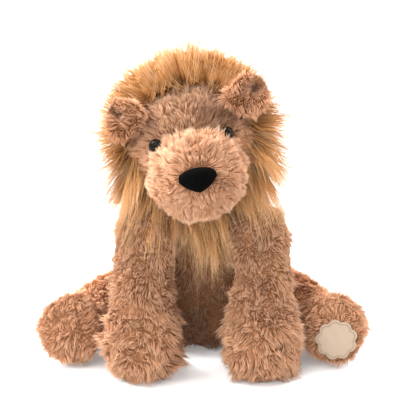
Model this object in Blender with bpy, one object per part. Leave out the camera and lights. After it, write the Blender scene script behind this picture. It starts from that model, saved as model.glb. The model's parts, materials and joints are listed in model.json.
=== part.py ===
"""A seated plush lion that faces -Y, in metres with Z up and its left side at +X.

Each limb is a plush cover with its filling inside, and each one turns where it is sewn to the body.
The head turns, tilts and nods on a round neck. The mane and the chest hair are thick pads of long pile.
"""
import math

import bmesh
import bpy
from mathutils import Matrix, Vector

SIDES = (("left", 1), ("right", -1))
HALF_TURN = 180

# Cloth, clearances and how finely the round forms are divided
PLUSH_WALL = 0.0040
THIN_WALL = 0.0030
SEAM_GAP = 0.0003
FILLING_GAP = 0.0004
OVERRUN = 0.0500
BODY_AROUND = 16
LIMB_AROUND = 14
TAIL_AROUND = 10
POCKET_AROUND = 23
SKULL_AROUND = 20
SOCKET_AROUND = 24
BALL_LEVELS = 8
SKULL_LEVELS = 10
SOCKET_LEVELS = 16

# Torso: a pear that sits on a flat seat, leans forward and ends in a round neck
TORSO_HALF_WIDTH = 0.0760
TORSO_HALF_DEPTH = 0.0650
TORSO_LEAN = 0.0570
NECK_HEIGHT = 0.1360
NECK_BACK = -0.0510
NECK_BALL = 0.0300
# Each row: height, lean, half width and half depth, as shares of the sizes above
TORSO_ROW_SHARES = (
    (0.000, 0.000, 0.66, 0.65),
    (0.030, 0.000, 0.79, 0.785),
    (0.105, 0.000, 0.91, 0.91),
    (0.250, 0.035, 1.00, 1.00),
    (0.440, 0.120, 0.975, 0.955),
    (0.625, 0.260, 0.855, 0.86),
    (0.795, 0.440, 0.70, 0.755),
    (0.925, 0.630, 0.565, 0.645),
    (1.020, 0.825, 0.447, 0.523),
)
NECK_BALL_TURNS = (70, 53, 32)
SLIT_WIDTH = 0.0016
SLIT_LENGTH = 0.0380
SLIT_BOTTOM = 0.0580
THREAD_RADIUS = 0.0005
THREAD_REACH = 0.0030
THREAD_CROSSINGS = 8
THREAD_AROUND = 6
BAG_HALF_WIDTH = 0.0440
BAG_HALF_DEPTH = 0.0360
BAG_HALF_HEIGHT = 0.0140

# Neck: two nested caps round the neck ball, its cover and its filling
NECK_CAP_WALL = 0.0032
NECK_CAP_REACH = 58
NECK_CAP_LEVELS = 5
NECK_AROUND = 22

# Chest hair
BIB_HALF_WIDTH = 0.0210
BIB_HALF_DEPTH = 0.0150
BIB_HALF_HEIGHT = 0.0260
BIB_SINK = 0.0360
BIB_FORWARD = TORSO_HALF_DEPTH - BIB_SINK
BIB_DROP = 0.0250

# Head: an egg that leans to the lion's right and looks a little to its left
HEAD_SIDE = -0.0094
HEAD_FORWARD = 0.0210
HEAD_RISE = 0.0660
HEAD_LEAN = 10.0
HEAD_LOOK = 2.5
SKULL_HALF_WIDTH = 0.0540
SKULL_HALF_DEPTH = 0.0500
SKULL_HALF_HEIGHT = 0.0530
MUZZLE_HALF_WIDTH = 0.0437
MUZZLE_HALF_DEPTH = 0.0400
MUZZLE_HALF_HEIGHT = 0.0380
MUZZLE_FORWARD = 0.0470
MUZZLE_DROP = 0.0205

# Nose: a rounded lozenge with a flat top
NOSE_HALF_WIDTH = 0.0155
# Height above or below its middle, then how square the outline is across and up
NOSE_UPPER = (0.0095, 0.85, 0.62)
NOSE_LOWER = (0.0108, 1.05, 1.30)
NOSE_THICKNESS = 0.0065
NOSE_SINK = 0.0060
NOSE_LIFT = 0.0085
NOSE_POINTS = 24
# Each row: size of the outline and how far out it lies
NOSE_ROW_SHARES = ((0.96, 0.0), (1.0, 0.35), (0.88, 0.75), (0.58, 0.95))

# Eyes: a domed button with a shank that a washer grips inside the cover
EYE_SIDE = 0.0288
EYE_LIFT = 0.0095
EYE_RADIUS = 0.0068
EYE_DOME = 0.0050
EYE_EDGE = 0.0012
EYE_SHANK = 0.0018
EYE_SHANK_LENGTH = 0.0120
EYE_AROUND = 16
# Each row of the dome: radius and height
EYE_DOME_SHARES = ((0.82, 0.55), (0.45, 0.90))
WASHER_RADIUS = 0.0065
WASHER_THICKNESS = 0.0015

# Mane: a thick hood of long pile round the back and the sides of the head
MANE_HALF_WIDTH = 0.0775
MANE_HALF_DEPTH = 0.0640
MANE_HALF_HEIGHT = 0.0640
MANE_BACK = 0.0140
MANE_LIFT = 0.0140
MANE_FRONT = -0.0080
MANE_HEM = 0.0360
# how far each lock and each furrow of the mane stands out, counted from its left side up over the crown
MANE_LOCK_SHARES = (
    1.00, 0.925, 0.985, 0.91, 1.00, 0.93, 0.984, 0.915, 0.975, 0.93, 1.00, 0.91, 0.98, 0.925,
    1.00, 0.92, 0.98, 0.93, 0.97, 0.94, 0.97, 0.95, 0.97, 0.94, 0.97, 0.93, 0.98, 0.92,
)

# Ears: two nested cups each, with a rolled root that lies on the head
EAR_SIDE = 0.0375
EAR_LIFT = 0.0255
EAR_OUTWARD_LEAN = 36.0
EAR_HALF_LENGTH = 0.0195
EAR_HALF_WIDTH = 0.0225
EAR_HALF_DEPTH = 0.0100
EAR_WALL = 0.0025
EAR_RIM = 0.0020
EAR_ROLL_RADIUS = 0.0035
EAR_ROLL_LENGTH = 0.0240
EAR_ROLL_OVERLAP = 0.0015
EAR_ROLL_SINK = 0.0007

# Front legs: upright pillars that end in round paws
SHOULDER_PLANE = 0.0240
SHOULDER_FORWARD = 0.0260
SHOULDER_DROP = 0.0140
SHOULDER_BACK = NECK_BACK - SHOULDER_FORWARD
SHOULDER_HEIGHT = NECK_HEIGHT - SHOULDER_DROP
SHOULDER_ROUND = 0.0285
PAW_SIDE = 0.0515
PAW_FORWARD = 0.0280
PAW_HALF_WIDTH = 0.0362
PAW_HALF_DEPTH = 0.0345
# Each row: height, side, forward, half width and half depth, as shares of the sizes above
FRONT_LEG_ROW_SHARES = (
    (0.000, 1.00, 1.000, 0.50, 0.50),
    (0.040, 1.00, 1.000, 0.80, 0.80),
    (0.115, 1.00, 1.000, 0.97, 0.965),
    (0.240, 1.00, 0.990, 1.00, 1.00),
    (0.360, 1.00, 0.930, 0.975, 0.957),
    (0.460, 0.99, 0.840, 0.885, 0.855),
    (0.557, 0.986, 0.770, 0.825, 0.782),
    (0.672, 0.99, 0.700, 0.787, 0.724),
    (0.754, 1.00, 0.607, 0.760, 0.652),
    (0.836, 0.99, 0.293, 0.774, 0.804),
    (1.000, 0.913, 0.000, 0.857, 0.820),
)
# Each row of the rounded shoulder: height and half depth as shares of its radius, half width of the paw's
SHOULDER_ROW_SHARES = ((0.50, 0.866, 0.75), (0.82, 0.572, 0.50))
SHOULDER_CUT_DROP = 0.0320
SHOULDER_CLEARANCE = 0.0008

# Hind legs: they come out of the hips sideways and turn forward to the soles
HIP_FLAT = 0.0060
HIP_PLANE = TORSO_HALF_WIDTH - HIP_FLAT
FOOT_SIDE = 0.1150
FOOT_FORWARD = 0.0820
FOOT_HEIGHT = 0.0330
FOOT_HALF_WIDTH = 0.0320
FOOT_HALF_HEIGHT = 0.0335
HIP_BACK = -0.0110
# The way the leg heads at each row, from sideways to forward
HIP_HEADINGS = (0, 25, 45, 62, 78, 88, 90, 90, 90, 90)
# Each row: way from hip to foot, sideways and forward, then height, half width and half height of the foot's
HIND_LEG_ROW_SHARES = (
    (0.000, 0.000, 1.333, 0.875, 0.866),
    (0.285, 0.061, 1.227, 0.875, 0.806),
    (0.532, 0.195, 1.121, 0.828, 0.761),
    (0.732, 0.378, 1.000, 0.797, 0.731),
    (0.888, 0.561, 0.970, 0.859, 0.806),
    (0.978, 0.683, 0.985, 0.953, 0.940),
    (1.000, 0.780, 1.000, 0.985, 1.000),
    (1.000, 0.890, 1.000, 0.970, 0.985),
    (1.000, 0.963, 1.000, 0.940, 0.940),
    (1.000, 1.000, 1.000, 0.885, 0.880),
)
SOLE_THICKNESS = 0.0025
PATCH_RADIUS = 0.0180
PATCH_THICKNESS = 0.0014
PATCH_SCALLOPS = 9
PATCH_SCALLOP_DEPTH = 0.0014
PATCH_SCALLOP_POINTS = 6

# Tail: a short cord that lies on the floor behind the seat and ends in a tuft
TAIL_RADIUS = 0.0090
TAIL_SINK = 0.0028
TAIL_HEIGHT = 0.0200
TAIL_ROOT_LENGTH = 0.0070
TAIL_ROOT_RADIUS = 0.0057
TAIL_LENGTH = 0.0520
TAIL_DROP = 0.0110
# Each row: sideways and back as shares of the length, how much of the drop is done, half size
TAIL_ROW_SHARES = (
    (0.00, 0.000, 0.00, 0.97),
    (0.05, 0.180, 0.55, 0.97),
    (0.16, 0.360, 0.90, 1.00),
    (0.36, 0.510, 1.00, 1.00),
    (0.60, 0.590, 1.00, 0.95),
    (0.85, 0.610, 1.00, 0.85),
)
# The way the tail heads at each row, from straight back to sideways
TAIL_HEADINGS = (0, 15, 35, 60, 80, 88)
TUFT_HALF_LENGTH = 0.0240
TUFT_HALF_WIDTH = 0.0120
TUFT_OVERLAP = 0.0100
TUFT_FLAT = 0.0005

# Colours of the finished pieces: red, green and blue from 0 to 1, then roughness
TAN_PLUSH = (0.46, 0.22, 0.11, 0.95)
PALE_PLUSH = (0.72, 0.45, 0.27, 0.95)
MANE_PILE = (0.50, 0.22, 0.08, 0.80)
WHITE_FIBRE = (0.85, 0.84, 0.80, 0.95)
BAG_CLOTH = (0.70, 0.66, 0.55, 0.90)
BLACK_GLOSS = (0.01, 0.01, 0.012, 0.08)
BLACK_CLOTH = (0.015, 0.014, 0.014, 0.85)
WASHER_PLASTIC = (0.80, 0.80, 0.78, 0.45)
CREAM_FELT = (0.78, 0.62, 0.44, 0.90)
BROWN_THREAD = (0.20, 0.09, 0.04, 0.70)


def clear_scene():
    for thing in list(bpy.data.objects):
        bpy.data.objects.remove(thing, do_unlink=True)


def spot(name, point, turn=Matrix(), parent=None):
    """An empty at a joint or at the middle of a group."""
    mark = bpy.data.objects.new(name, None)
    bpy.context.collection.objects.link(mark)
    mark.parent = parent
    if parent:
        mark.matrix_parent_inverse = parent.matrix_world.inverted()
    mark.matrix_world = Matrix.Translation(point) @ turn
    bpy.context.view_layer.update()
    return mark


def make_piece(name, bm):
    bmesh.ops.recalc_face_normals(bm, faces=bm.faces)
    mesh = bpy.data.meshes.new(name)
    bm.to_mesh(mesh)
    bm.free()
    for face in mesh.polygons:
        face.use_smooth = True
    piece = bpy.data.objects.new(name, mesh)
    bpy.context.collection.objects.link(piece)
    return piece


def paint(piece, look):
    red, green, blue, roughness = look
    material = bpy.data.materials.new(piece.name)
    material.use_nodes = True
    shader = material.node_tree.nodes["Principled BSDF"]
    shader.inputs["Base Color"].default_value = (red, green, blue, 1)
    shader.inputs["Roughness"].default_value = roughness
    shader.inputs["Metallic"].default_value = 0
    piece.data.materials.append(material)


def carry(piece, holder):
    """Tie a piece drawn in world places to the empty on its joint."""
    piece.parent = holder
    piece.matrix_parent_inverse = holder.matrix_world.inverted()


def sit(piece, holder):
    """Tie a piece drawn round a group's own middle to that group."""
    piece.parent = holder


def hide(cutter):
    cutter.hide_render = True
    cutter.display_type = "WIRE"
    return cutter


def combine(piece, other, operation):
    step = piece.modifiers.new(other.name, "BOOLEAN")
    step.operation = operation
    step.solver = "EXACT"
    step.object = other


def cut(piece, *cutters):
    for cutter in cutters:
        combine(piece, cutter, "DIFFERENCE")


def ring(middle, side, up, half_side, half_up, count, floor=None):
    points = []
    for step in range(count):
        turn = math.tau * step / count
        point = middle + side * (half_side * math.cos(turn)) + up * (half_up * math.sin(turn))
        if floor is not None:
            point.z = max(point.z, floor)
        points.append(point)
    return points


def join_rings(bm, low, high, leaning=1):
    """Triangles between two rings; leaning says which way each pair of them is split."""
    count = len(low)
    for step in range(count):
        after = (step + 1) % count
        if leaning > 0:
            bm.faces.new((low[step], low[after], high[after]))
            bm.faces.new((low[step], high[after], high[step]))
        else:
            bm.faces.new((low[step], low[after], high[step]))
            bm.faces.new((low[after], high[after], high[step]))


def cap_ring(bm, loop, tip):
    if tip is None:
        bm.faces.new(loop)
        return
    peak = bm.verts.new(tip)
    for step, corner in enumerate(loop):
        bm.faces.new((corner, loop[(step + 1) % len(loop)], peak))


def loft(name, rings, first_tip=None, last_tip=None, tube=False):
    """A skin through rings of points: closed at both ends, or back to its start when it is a tube."""
    bm = bmesh.new()
    loops = [[bm.verts.new(point) for point in points] for points in rings]
    for step, (low, high) in enumerate(zip(loops, loops[1:])):
        inside = tube and 2 * step >= len(loops)
        join_rings(bm, low, high, -1 if inside else 1)
    if tube:
        join_rings(bm, loops[-1], loops[0])
    else:
        cap_ring(bm, loops[0], first_tip)
        cap_ring(bm, loops[-1], last_tip)
    return make_piece(name, bm)


def ball(name, middle, half, around=BODY_AROUND, levels=BALL_LEVELS, floor=None):
    bm = bmesh.new()
    bmesh.ops.create_uvsphere(bm, u_segments=around, v_segments=levels, radius=1)
    bmesh.ops.transform(bm, verts=bm.verts, matrix=Matrix.Translation(middle) @ Matrix.Diagonal((*half, 1)))
    if floor is not None:
        for corner in bm.verts:
            corner.co.z = max(corner.co.z, floor)
        bmesh.ops.dissolve_limit(bm, angle_limit=math.radians(1), verts=bm.verts, edges=bm.edges)
    return make_piece(name, bm)


def box(name, low, high):
    bm = bmesh.new()
    bmesh.ops.create_cube(bm, size=1)
    low, high = Vector(low), Vector(high)
    shape = Matrix.Translation((low + high) / 2) @ Matrix.Diagonal((*(high - low), 1))
    bmesh.ops.transform(bm, verts=bm.verts, matrix=shape)
    return make_piece(name, bm)


def rod(name, start, end, radius, around=BODY_AROUND):
    along = (end - start).normalized()
    side = along.orthogonal().normalized()
    up = along.cross(side)
    rings = [ring(point, side, up, radius, radius, around) for point in (start, end)]
    return loft(name, rings)


# Torso

def torso_back_line():
    """Height and back surface of each torso row, on the middle line."""
    line = []
    for height, lean, _, depth in TORSO_ROW_SHARES:
        line.append((height * NECK_HEIGHT, depth * TORSO_HALF_DEPTH - lean * TORSO_LEAN))
    return line


def torso_back_at(height):
    line = torso_back_line()
    for (low, low_back), (high, high_back) in zip(line, line[1:]):
        if height <= high:
            return low_back + (high_back - low_back) * (height - low) / (high - low)
    return line[-1][1]


def torso_form(name, inset):
    """The pear, drawn in by inset all round, with its pockets for the shoulders and flats for the hips."""
    rings = []
    for height, lean, width, depth in TORSO_ROW_SHARES:
        middle = Vector((0, -lean * TORSO_LEAN, height * NECK_HEIGHT))
        middle.z = max(middle.z, inset + middle.z * (1 - 2 * inset / NECK_HEIGHT))
        half_width = width * TORSO_HALF_WIDTH - inset
        half_depth = depth * TORSO_HALF_DEPTH - inset
        rings.append(ring(middle, Vector((1, 0, 0)), Vector((0, 1, 0)), half_width, half_depth, BODY_AROUND))
    neck = Vector((0, NECK_BACK, NECK_HEIGHT))
    reach = NECK_BALL - inset
    for turn in NECK_BALL_TURNS:
        middle = neck + Vector((0, 0, reach * math.cos(math.radians(turn))))
        wide = reach * math.sin(math.radians(turn))
        rings.append(ring(middle, Vector((1, 0, 0)), Vector((0, 1, 0)), wide, wide, BODY_AROUND))
    form = loft(name, rings, last_tip=neck + Vector((0, 0, reach)))
    for side, sign in SIDES:
        cut(form, shoulder_pocket(f"{name}_shoulder_{side}", sign, inset))
        cut(form, hip_flat(f"{name}_hip_{side}", sign, inset))
    return form


def shoulder_pocket(name, sign, inset):
    plane = SHOULDER_PLANE - inset
    start = Vector((sign * plane, SHOULDER_BACK, SHOULDER_HEIGHT))
    end = start + Vector((sign * (TORSO_HALF_WIDTH + OVERRUN), 0, 0))
    return hide(rod(name, start, end, SHOULDER_ROUND + SHOULDER_CLEARANCE + inset, POCKET_AROUND))


def hip_flat(name, sign, inset):
    deep = TORSO_HALF_DEPTH + OVERRUN
    low = Vector((HIP_PLANE - inset, -deep, -OVERRUN))
    high = Vector((TORSO_HALF_WIDTH + OVERRUN, deep, NECK_HEIGHT))
    cutter = hide(box(name, low, high))
    cutter.scale.x = sign
    return cutter


def tail_root_place():
    back = torso_back_at(TAIL_HEIGHT) + TAIL_RADIUS + SEAM_GAP - TAIL_SINK
    return Vector((0, back, TAIL_HEIGHT))


def build_torso():
    cover = torso_form("torso_cover", 0)
    inside = hide(torso_form("torso_inside", PLUSH_WALL))
    slit_top = SLIT_BOTTOM + SLIT_LENGTH
    slit = hide(box(
        "closing_slit",
        (-SLIT_WIDTH / 2, 0, SLIT_BOTTOM),
        (SLIT_WIDTH / 2, TORSO_HALF_DEPTH + OVERRUN, slit_top),
    ))
    root = TAIL_RADIUS + SEAM_GAP
    tail_pocket = hide(ball("tail_pocket", tail_root_place(), (root, root, root), TAIL_AROUND * 2))
    cut(cover, inside, slit, tail_pocket)
    paint(cover, TAN_PLUSH)

    filling = torso_form("torso_filling", PLUSH_WALL + FILLING_GAP)
    bag_space = hide(pellet_bag("pellet_bag_space", SEAM_GAP))
    cut(filling, bag_space)
    paint(filling, WHITE_FIBRE)
    paint(pellet_bag("pellet_bag", 0), BAG_CLOTH)
    build_closing_thread(slit_top)


def pellet_bag(name, spare):
    floor = PLUSH_WALL + SEAM_GAP - 2 * spare
    middle = Vector((0, 0, PLUSH_WALL + BAG_HALF_HEIGHT))
    half = (BAG_HALF_WIDTH + spare, BAG_HALF_DEPTH + spare, BAG_HALF_HEIGHT + spare)
    return ball(name, middle, half, LIMB_AROUND, BALL_LEVELS, floor)


def build_closing_thread(slit_top):
    """The ladder stitches that close the back seam: across, up, and across again."""
    points = []
    for step in range(THREAD_CROSSINGS):
        height = SLIT_BOTTOM + (slit_top - SLIT_BOTTOM) * step / (THREAD_CROSSINGS - 1)
        back = torso_back_at(height) + THREAD_RADIUS + SEAM_GAP
        side = THREAD_REACH if step % 2 else -THREAD_REACH
        points.append(Vector((-side, back, height)))
        points.append(Vector((side, back, height)))
    outward = Vector((0, 1, 0))
    rings = []
    for step, point in enumerate(points):
        before = points[max(step - 1, 0)]
        after = points[min(step + 1, len(points) - 1)]
        along = (after - before).normalized()
        rings.append(ring(point, outward, along.cross(outward), THREAD_RADIUS, THREAD_RADIUS, THREAD_AROUND))
    paint(loft("closing_thread", rings), BROWN_THREAD)


def build_chest_bib():
    middle = Vector((0, NECK_BACK - BIB_FORWARD, NECK_HEIGHT - BIB_DROP))
    bib = ball("chest_bib", middle, (BIB_HALF_WIDTH, BIB_HALF_DEPTH, BIB_HALF_HEIGHT), LIMB_AROUND)
    cut(bib, hide(torso_form("torso_behind_bib", -SEAM_GAP)))
    paint(bib, MANE_PILE)


# Neck

def flats_clear(radius, around, step_turn):
    """The radius whose flats, not its corners, lie at the radius asked for."""
    return radius / (math.cos(math.pi / around) * math.cos(math.radians(step_turn / 2)))


def neck_cap(name, inner, outer, holder):
    """A bowl upside down over the neck ball."""
    neck = Vector((0, NECK_BACK, NECK_HEIGHT))
    side, back = Vector((1, 0, 0)), Vector((0, 1, 0))
    inner = flats_clear(inner, NECK_AROUND, NECK_CAP_REACH / NECK_CAP_LEVELS)
    rings = []
    for reach, order in ((outer, -1), (inner, 1)):
        turns = [NECK_CAP_REACH * (step + 1) / NECK_CAP_LEVELS for step in range(NECK_CAP_LEVELS)]
        for turn in turns[:: -order]:
            middle = neck + Vector((0, 0, reach * math.cos(math.radians(turn))))
            wide = reach * math.sin(math.radians(turn))
            rings.append(ring(middle, side, back, wide, wide, NECK_AROUND))
    peaks = [neck + Vector((0, 0, reach)) for reach in (outer, inner)]
    cap = loft(name, rings, first_tip=peaks[0], last_tip=peaks[1])
    carry(cap, holder)
    return cap


def neck_radii():
    """Inner and outer radius of the neck cover and of the neck filling, then the head's socket."""
    cover_inner = NECK_BALL + SEAM_GAP
    cover_outer = cover_inner + NECK_CAP_WALL
    filling_inner = cover_outer + SEAM_GAP
    filling_outer = filling_inner + NECK_CAP_WALL
    return cover_inner, cover_outer, filling_inner, filling_outer, filling_outer + SEAM_GAP


def build_neck(holder):
    cover_inner, cover_outer, filling_inner, filling_outer, _ = neck_radii()
    paint(neck_cap("neck_cover", cover_inner, cover_outer, holder), TAN_PLUSH)
    paint(neck_cap("neck_filling", filling_inner, filling_outer, holder), WHITE_FIBRE)


# Head

def skull(name, grow, holder):
    half = (SKULL_HALF_WIDTH + grow, SKULL_HALF_DEPTH + grow, SKULL_HALF_HEIGHT + grow)
    form = ball(name, Vector((0, 0, 0)), half, SKULL_AROUND, SKULL_LEVELS)
    sit(form, holder)
    return form


def skull_point(side, lift):
    """The place on the front of the skull at a side and a lift, and the way it faces."""
    share = (side / SKULL_HALF_WIDTH) ** 2 + (lift / SKULL_HALF_HEIGHT) ** 2
    forward = -SKULL_HALF_DEPTH * math.sqrt(1 - share)
    faces = Vector((side / SKULL_HALF_WIDTH**2, forward / SKULL_HALF_DEPTH**2, lift / SKULL_HALF_HEIGHT**2))
    return Vector((side, forward, lift)), faces.normalized()


def muzzle_form(name, grow, holder):
    middle = Vector((0, -MUZZLE_FORWARD, -MUZZLE_DROP))
    half = (MUZZLE_HALF_WIDTH + grow, MUZZLE_HALF_DEPTH + grow, MUZZLE_HALF_HEIGHT + grow)
    form = ball(name, middle, half, BODY_AROUND, BALL_LEVELS)
    sit(form, holder)
    return form


def nose_outline(size):
    """Points of the lozenge: a flat top, round corners and a soft point below."""
    points = []
    for step in range(NOSE_POINTS):
        turn = math.tau * step / NOSE_POINTS
        across, rise = math.cos(turn), math.sin(turn)
        height, wide_bend, tall_bend = NOSE_UPPER if rise > 0 else NOSE_LOWER
        x = size * NOSE_HALF_WIDTH * math.copysign(abs(across) ** wide_bend, across)
        z = size * height * math.copysign(abs(rise) ** tall_bend, rise)
        points.append((x, z))
    return points


def build_nose(head, muzzle_ahead):
    front = -MUZZLE_FORWARD - MUZZLE_HALF_DEPTH
    rings = []
    for size, out in NOSE_ROW_SHARES:
        depth = front + NOSE_SINK - out * (NOSE_SINK + NOSE_THICKNESS)
        rings.append([Vector((x, depth, z - MUZZLE_DROP + NOSE_LIFT)) for x, z in nose_outline(size)])
    tip = Vector((0, front - NOSE_THICKNESS, NOSE_LIFT - MUZZLE_DROP))
    nose = loft("nose", rings, last_tip=tip)
    sit(nose, head)
    cut(nose, muzzle_ahead)
    paint(nose, BLACK_CLOTH)


def turned_profile(name, start, along, profile, around):
    """A round piece from rows of radius and distance along its axis; a zero radius is a tip."""
    side = along.orthogonal().normalized()
    up = along.cross(side)
    tips = {}
    rings = []
    for radius, distance in profile:
        if radius:
            rings.append(ring(start + along * distance, side, up, radius, radius, around))
        else:
            tips["last_tip" if rings else "first_tip"] = start + along * distance
    return loft(name, rings, **tips)


def washer_sink():
    """How far the flat washer stands off the hollow side of the cover, so that its rim clears it."""
    hollow = SKULL_HALF_DEPTH - PLUSH_WALL
    flat = math.cos(math.pi / (2 * SKULL_LEVELS)) * math.cos(math.pi / SKULL_AROUND)
    return SEAM_GAP + hollow * (1 - flat) + WASHER_RADIUS**2 / (2 * hollow)


def build_eye(side, sign, head, cover, filling, muzzle_pieces):
    seat, faces = skull_point(sign * EYE_SIDE, EYE_LIFT)
    start = seat + faces * SEAM_GAP
    profile = [
        (EYE_SHANK, -EYE_SHANK_LENGTH),
        (EYE_SHANK, 0),
        (EYE_RADIUS - EYE_EDGE / 2, 0),
        (EYE_RADIUS, EYE_EDGE),
    ]
    for radius, height in EYE_DOME_SHARES:
        profile.append((radius * EYE_RADIUS, EYE_EDGE + height * EYE_DOME))
    profile.append((0, EYE_EDGE + EYE_DOME))
    eye = turned_profile(f"eye_{side}", start, faces, profile, EYE_AROUND)
    sit(eye, head)
    paint(eye, BLACK_GLOSS)

    hole_radius = EYE_SHANK + SEAM_GAP
    hole = hide(rod(f"eye_hole_{side}", seat - faces * OVERRUN / 2, seat + faces * OVERRUN / 2, hole_radius))
    room_radius = EYE_RADIUS + 2 * SEAM_GAP
    room = hide(rod(f"eye_room_{side}", seat, seat + faces * OVERRUN / 2, room_radius))
    sit(hole, head)
    sit(room, head)
    cut(cover, hole)
    for piece in muzzle_pieces:
        cut(piece, room)

    inner_face = seat - faces * (PLUSH_WALL + washer_sink())
    washer = rod(f"eye_washer_{side}", inner_face - faces * WASHER_THICKNESS, inner_face, WASHER_RADIUS)
    cut(washer, hole)
    sit(washer, head)
    paint(washer, WASHER_PLASTIC)
    bottom = seat - faces * (EYE_SHANK_LENGTH + SEAM_GAP)
    space = hide(rod(f"shank_space_{side}", bottom, seat, WASHER_RADIUS + 2 * SEAM_GAP))
    sit(space, head)
    cut(filling, space)


def build_head(head):
    neck = Vector((0, NECK_BACK, NECK_HEIGHT))
    reach = flats_clear(neck_radii()[-1], SOCKET_AROUND, HALF_TURN / SOCKET_LEVELS)
    socket = hide(ball("neck_socket", neck, (reach, reach, reach), SOCKET_AROUND, SOCKET_LEVELS))
    cover = skull("head_cover", 0, head)
    cut(cover, hide(skull("head_inside", -PLUSH_WALL, head)), socket)
    filling = skull("head_filling", -PLUSH_WALL - FILLING_GAP, head)
    cut(filling, socket)

    skull_ahead = hide(skull("skull_ahead", SEAM_GAP, head))
    muzzle = muzzle_form("muzzle_cover", 0, head)
    cut(muzzle, hide(muzzle_form("muzzle_inside", -PLUSH_WALL, head)), skull_ahead)
    stuffing = muzzle_form("muzzle_filling", -PLUSH_WALL - FILLING_GAP, head)
    cut(stuffing, skull_ahead)
    build_nose(head, hide(muzzle_form("muzzle_ahead", SEAM_GAP, head)))
    for side, sign in SIDES:
        build_eye(side, sign, head, cover, filling, (muzzle, stuffing))
    paint(cover, TAN_PLUSH)
    paint(filling, WHITE_FIBRE)
    paint(muzzle, PALE_PLUSH)
    paint(stuffing, WHITE_FIBRE)
    build_mane(head, skull_ahead, socket)
    build_ears(head)


def mane_form(name):
    """An egg with locks and furrows that run from its front to its back, where they fade out."""
    bm = bmesh.new()
    around = len(MANE_LOCK_SHARES)
    bmesh.ops.create_uvsphere(bm, u_segments=around, v_segments=BALL_LEVELS, radius=1)
    bmesh.ops.rotate(bm, verts=bm.verts, matrix=Matrix.Rotation(math.pi / 2, 3, "X"))
    for corner in bm.verts:
        turn = math.atan2(corner.co.z, corner.co.x) / math.tau
        share = MANE_LOCK_SHARES[round(turn * around) % around]
        size = share + (1 - share) * max(0, corner.co.y)
        corner.co.x *= size
        corner.co.z *= size
    middle = Vector((0, MANE_BACK, MANE_LIFT))
    half = (MANE_HALF_WIDTH, MANE_HALF_DEPTH, MANE_HALF_HEIGHT)
    bmesh.ops.transform(bm, verts=bm.verts, matrix=Matrix.Translation(middle) @ Matrix.Diagonal((*half, 1)))
    return make_piece(name, bm)


def build_mane(head, skull_ahead, socket):
    mane = mane_form("mane")
    sit(mane, head)
    wide = MANE_HALF_WIDTH + OVERRUN
    tall = MANE_HALF_HEIGHT + MANE_LIFT + OVERRUN
    deep = MANE_HALF_DEPTH + MANE_BACK + OVERRUN
    face = hide(box("face_opening", (-wide, -deep, -tall), (wide, MANE_FRONT, tall)))
    hem = hide(box("mane_hem", (-wide, -deep, -tall), (wide, deep, -MANE_HEM)))
    sit(face, head)
    sit(hem, head)
    cut(mane, skull_ahead, face, hem, socket)
    paint(mane, MANE_PILE)


def build_ears(head):
    for side, sign in SIDES:
        seat, faces = skull_point(sign * EAR_SIDE, EAR_LIFT)
        lean = math.radians(EAR_OUTWARD_LEAN)
        outward = Vector((sign * math.cos(lean), 0, math.sin(lean)))
        back = Vector((0, 1, 0))
        turn = Matrix((outward, back, outward.cross(back))).transposed().to_4x4()
        root = seat + faces * (EAR_ROLL_RADIUS + SEAM_GAP - EAR_ROLL_SINK)
        head_turn = head.matrix_world.to_3x3().to_4x4()
        ear = spot(f"ear_{side}_root", head.matrix_world @ root, head_turn @ turn, head)
        build_ear(side, ear)


def ear_cup(name, inset, ear):
    middle = Vector((EAR_HALF_LENGTH - EAR_ROLL_OVERLAP, 0, 0))
    half = (EAR_HALF_LENGTH - inset, EAR_HALF_DEPTH - inset, EAR_HALF_WIDTH - inset)
    cup = ball(name, middle, half, LIMB_AROUND, BALL_LEVELS)
    sit(cup, ear)
    return cup


def build_ear(side, ear):
    """A back cup with the rolled root, and a front cup that lines it."""
    back = ear_cup(f"ear_back_{side}", 0, ear)
    hollow = hide(ear_cup(f"ear_back_hollow_{side}", EAR_WALL, ear))
    wide = EAR_HALF_LENGTH + EAR_HALF_WIDTH + OVERRUN
    mouth = hide(box(f"ear_mouth_{side}", (-wide, -wide, -wide), (wide, -EAR_RIM, wide)))
    half_roll = Vector((0, 0, EAR_ROLL_LENGTH / 2))
    roll = hide(rod(f"ear_roll_{side}", -half_roll, half_roll, EAR_ROLL_RADIUS, LIMB_AROUND))
    for cutter in (mouth, roll):
        sit(cutter, ear)
    cut(back, hollow, mouth)
    combine(back, roll, "UNION")
    paint(back, TAN_PLUSH)

    front = ear_cup(f"ear_front_{side}", EAR_WALL + SEAM_GAP, ear)
    cut(front, hide(ear_cup(f"ear_front_hollow_{side}", 2 * EAR_WALL + SEAM_GAP, ear)), mouth)
    clear = EAR_ROLL_RADIUS + SEAM_GAP
    roll_room = hide(rod(f"ear_roll_room_{side}", -half_roll * 2, half_roll * 2, clear, LIMB_AROUND))
    sit(roll_room, ear)
    cut(front, roll_room)
    paint(front, PALE_PLUSH)


# Front legs

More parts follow.
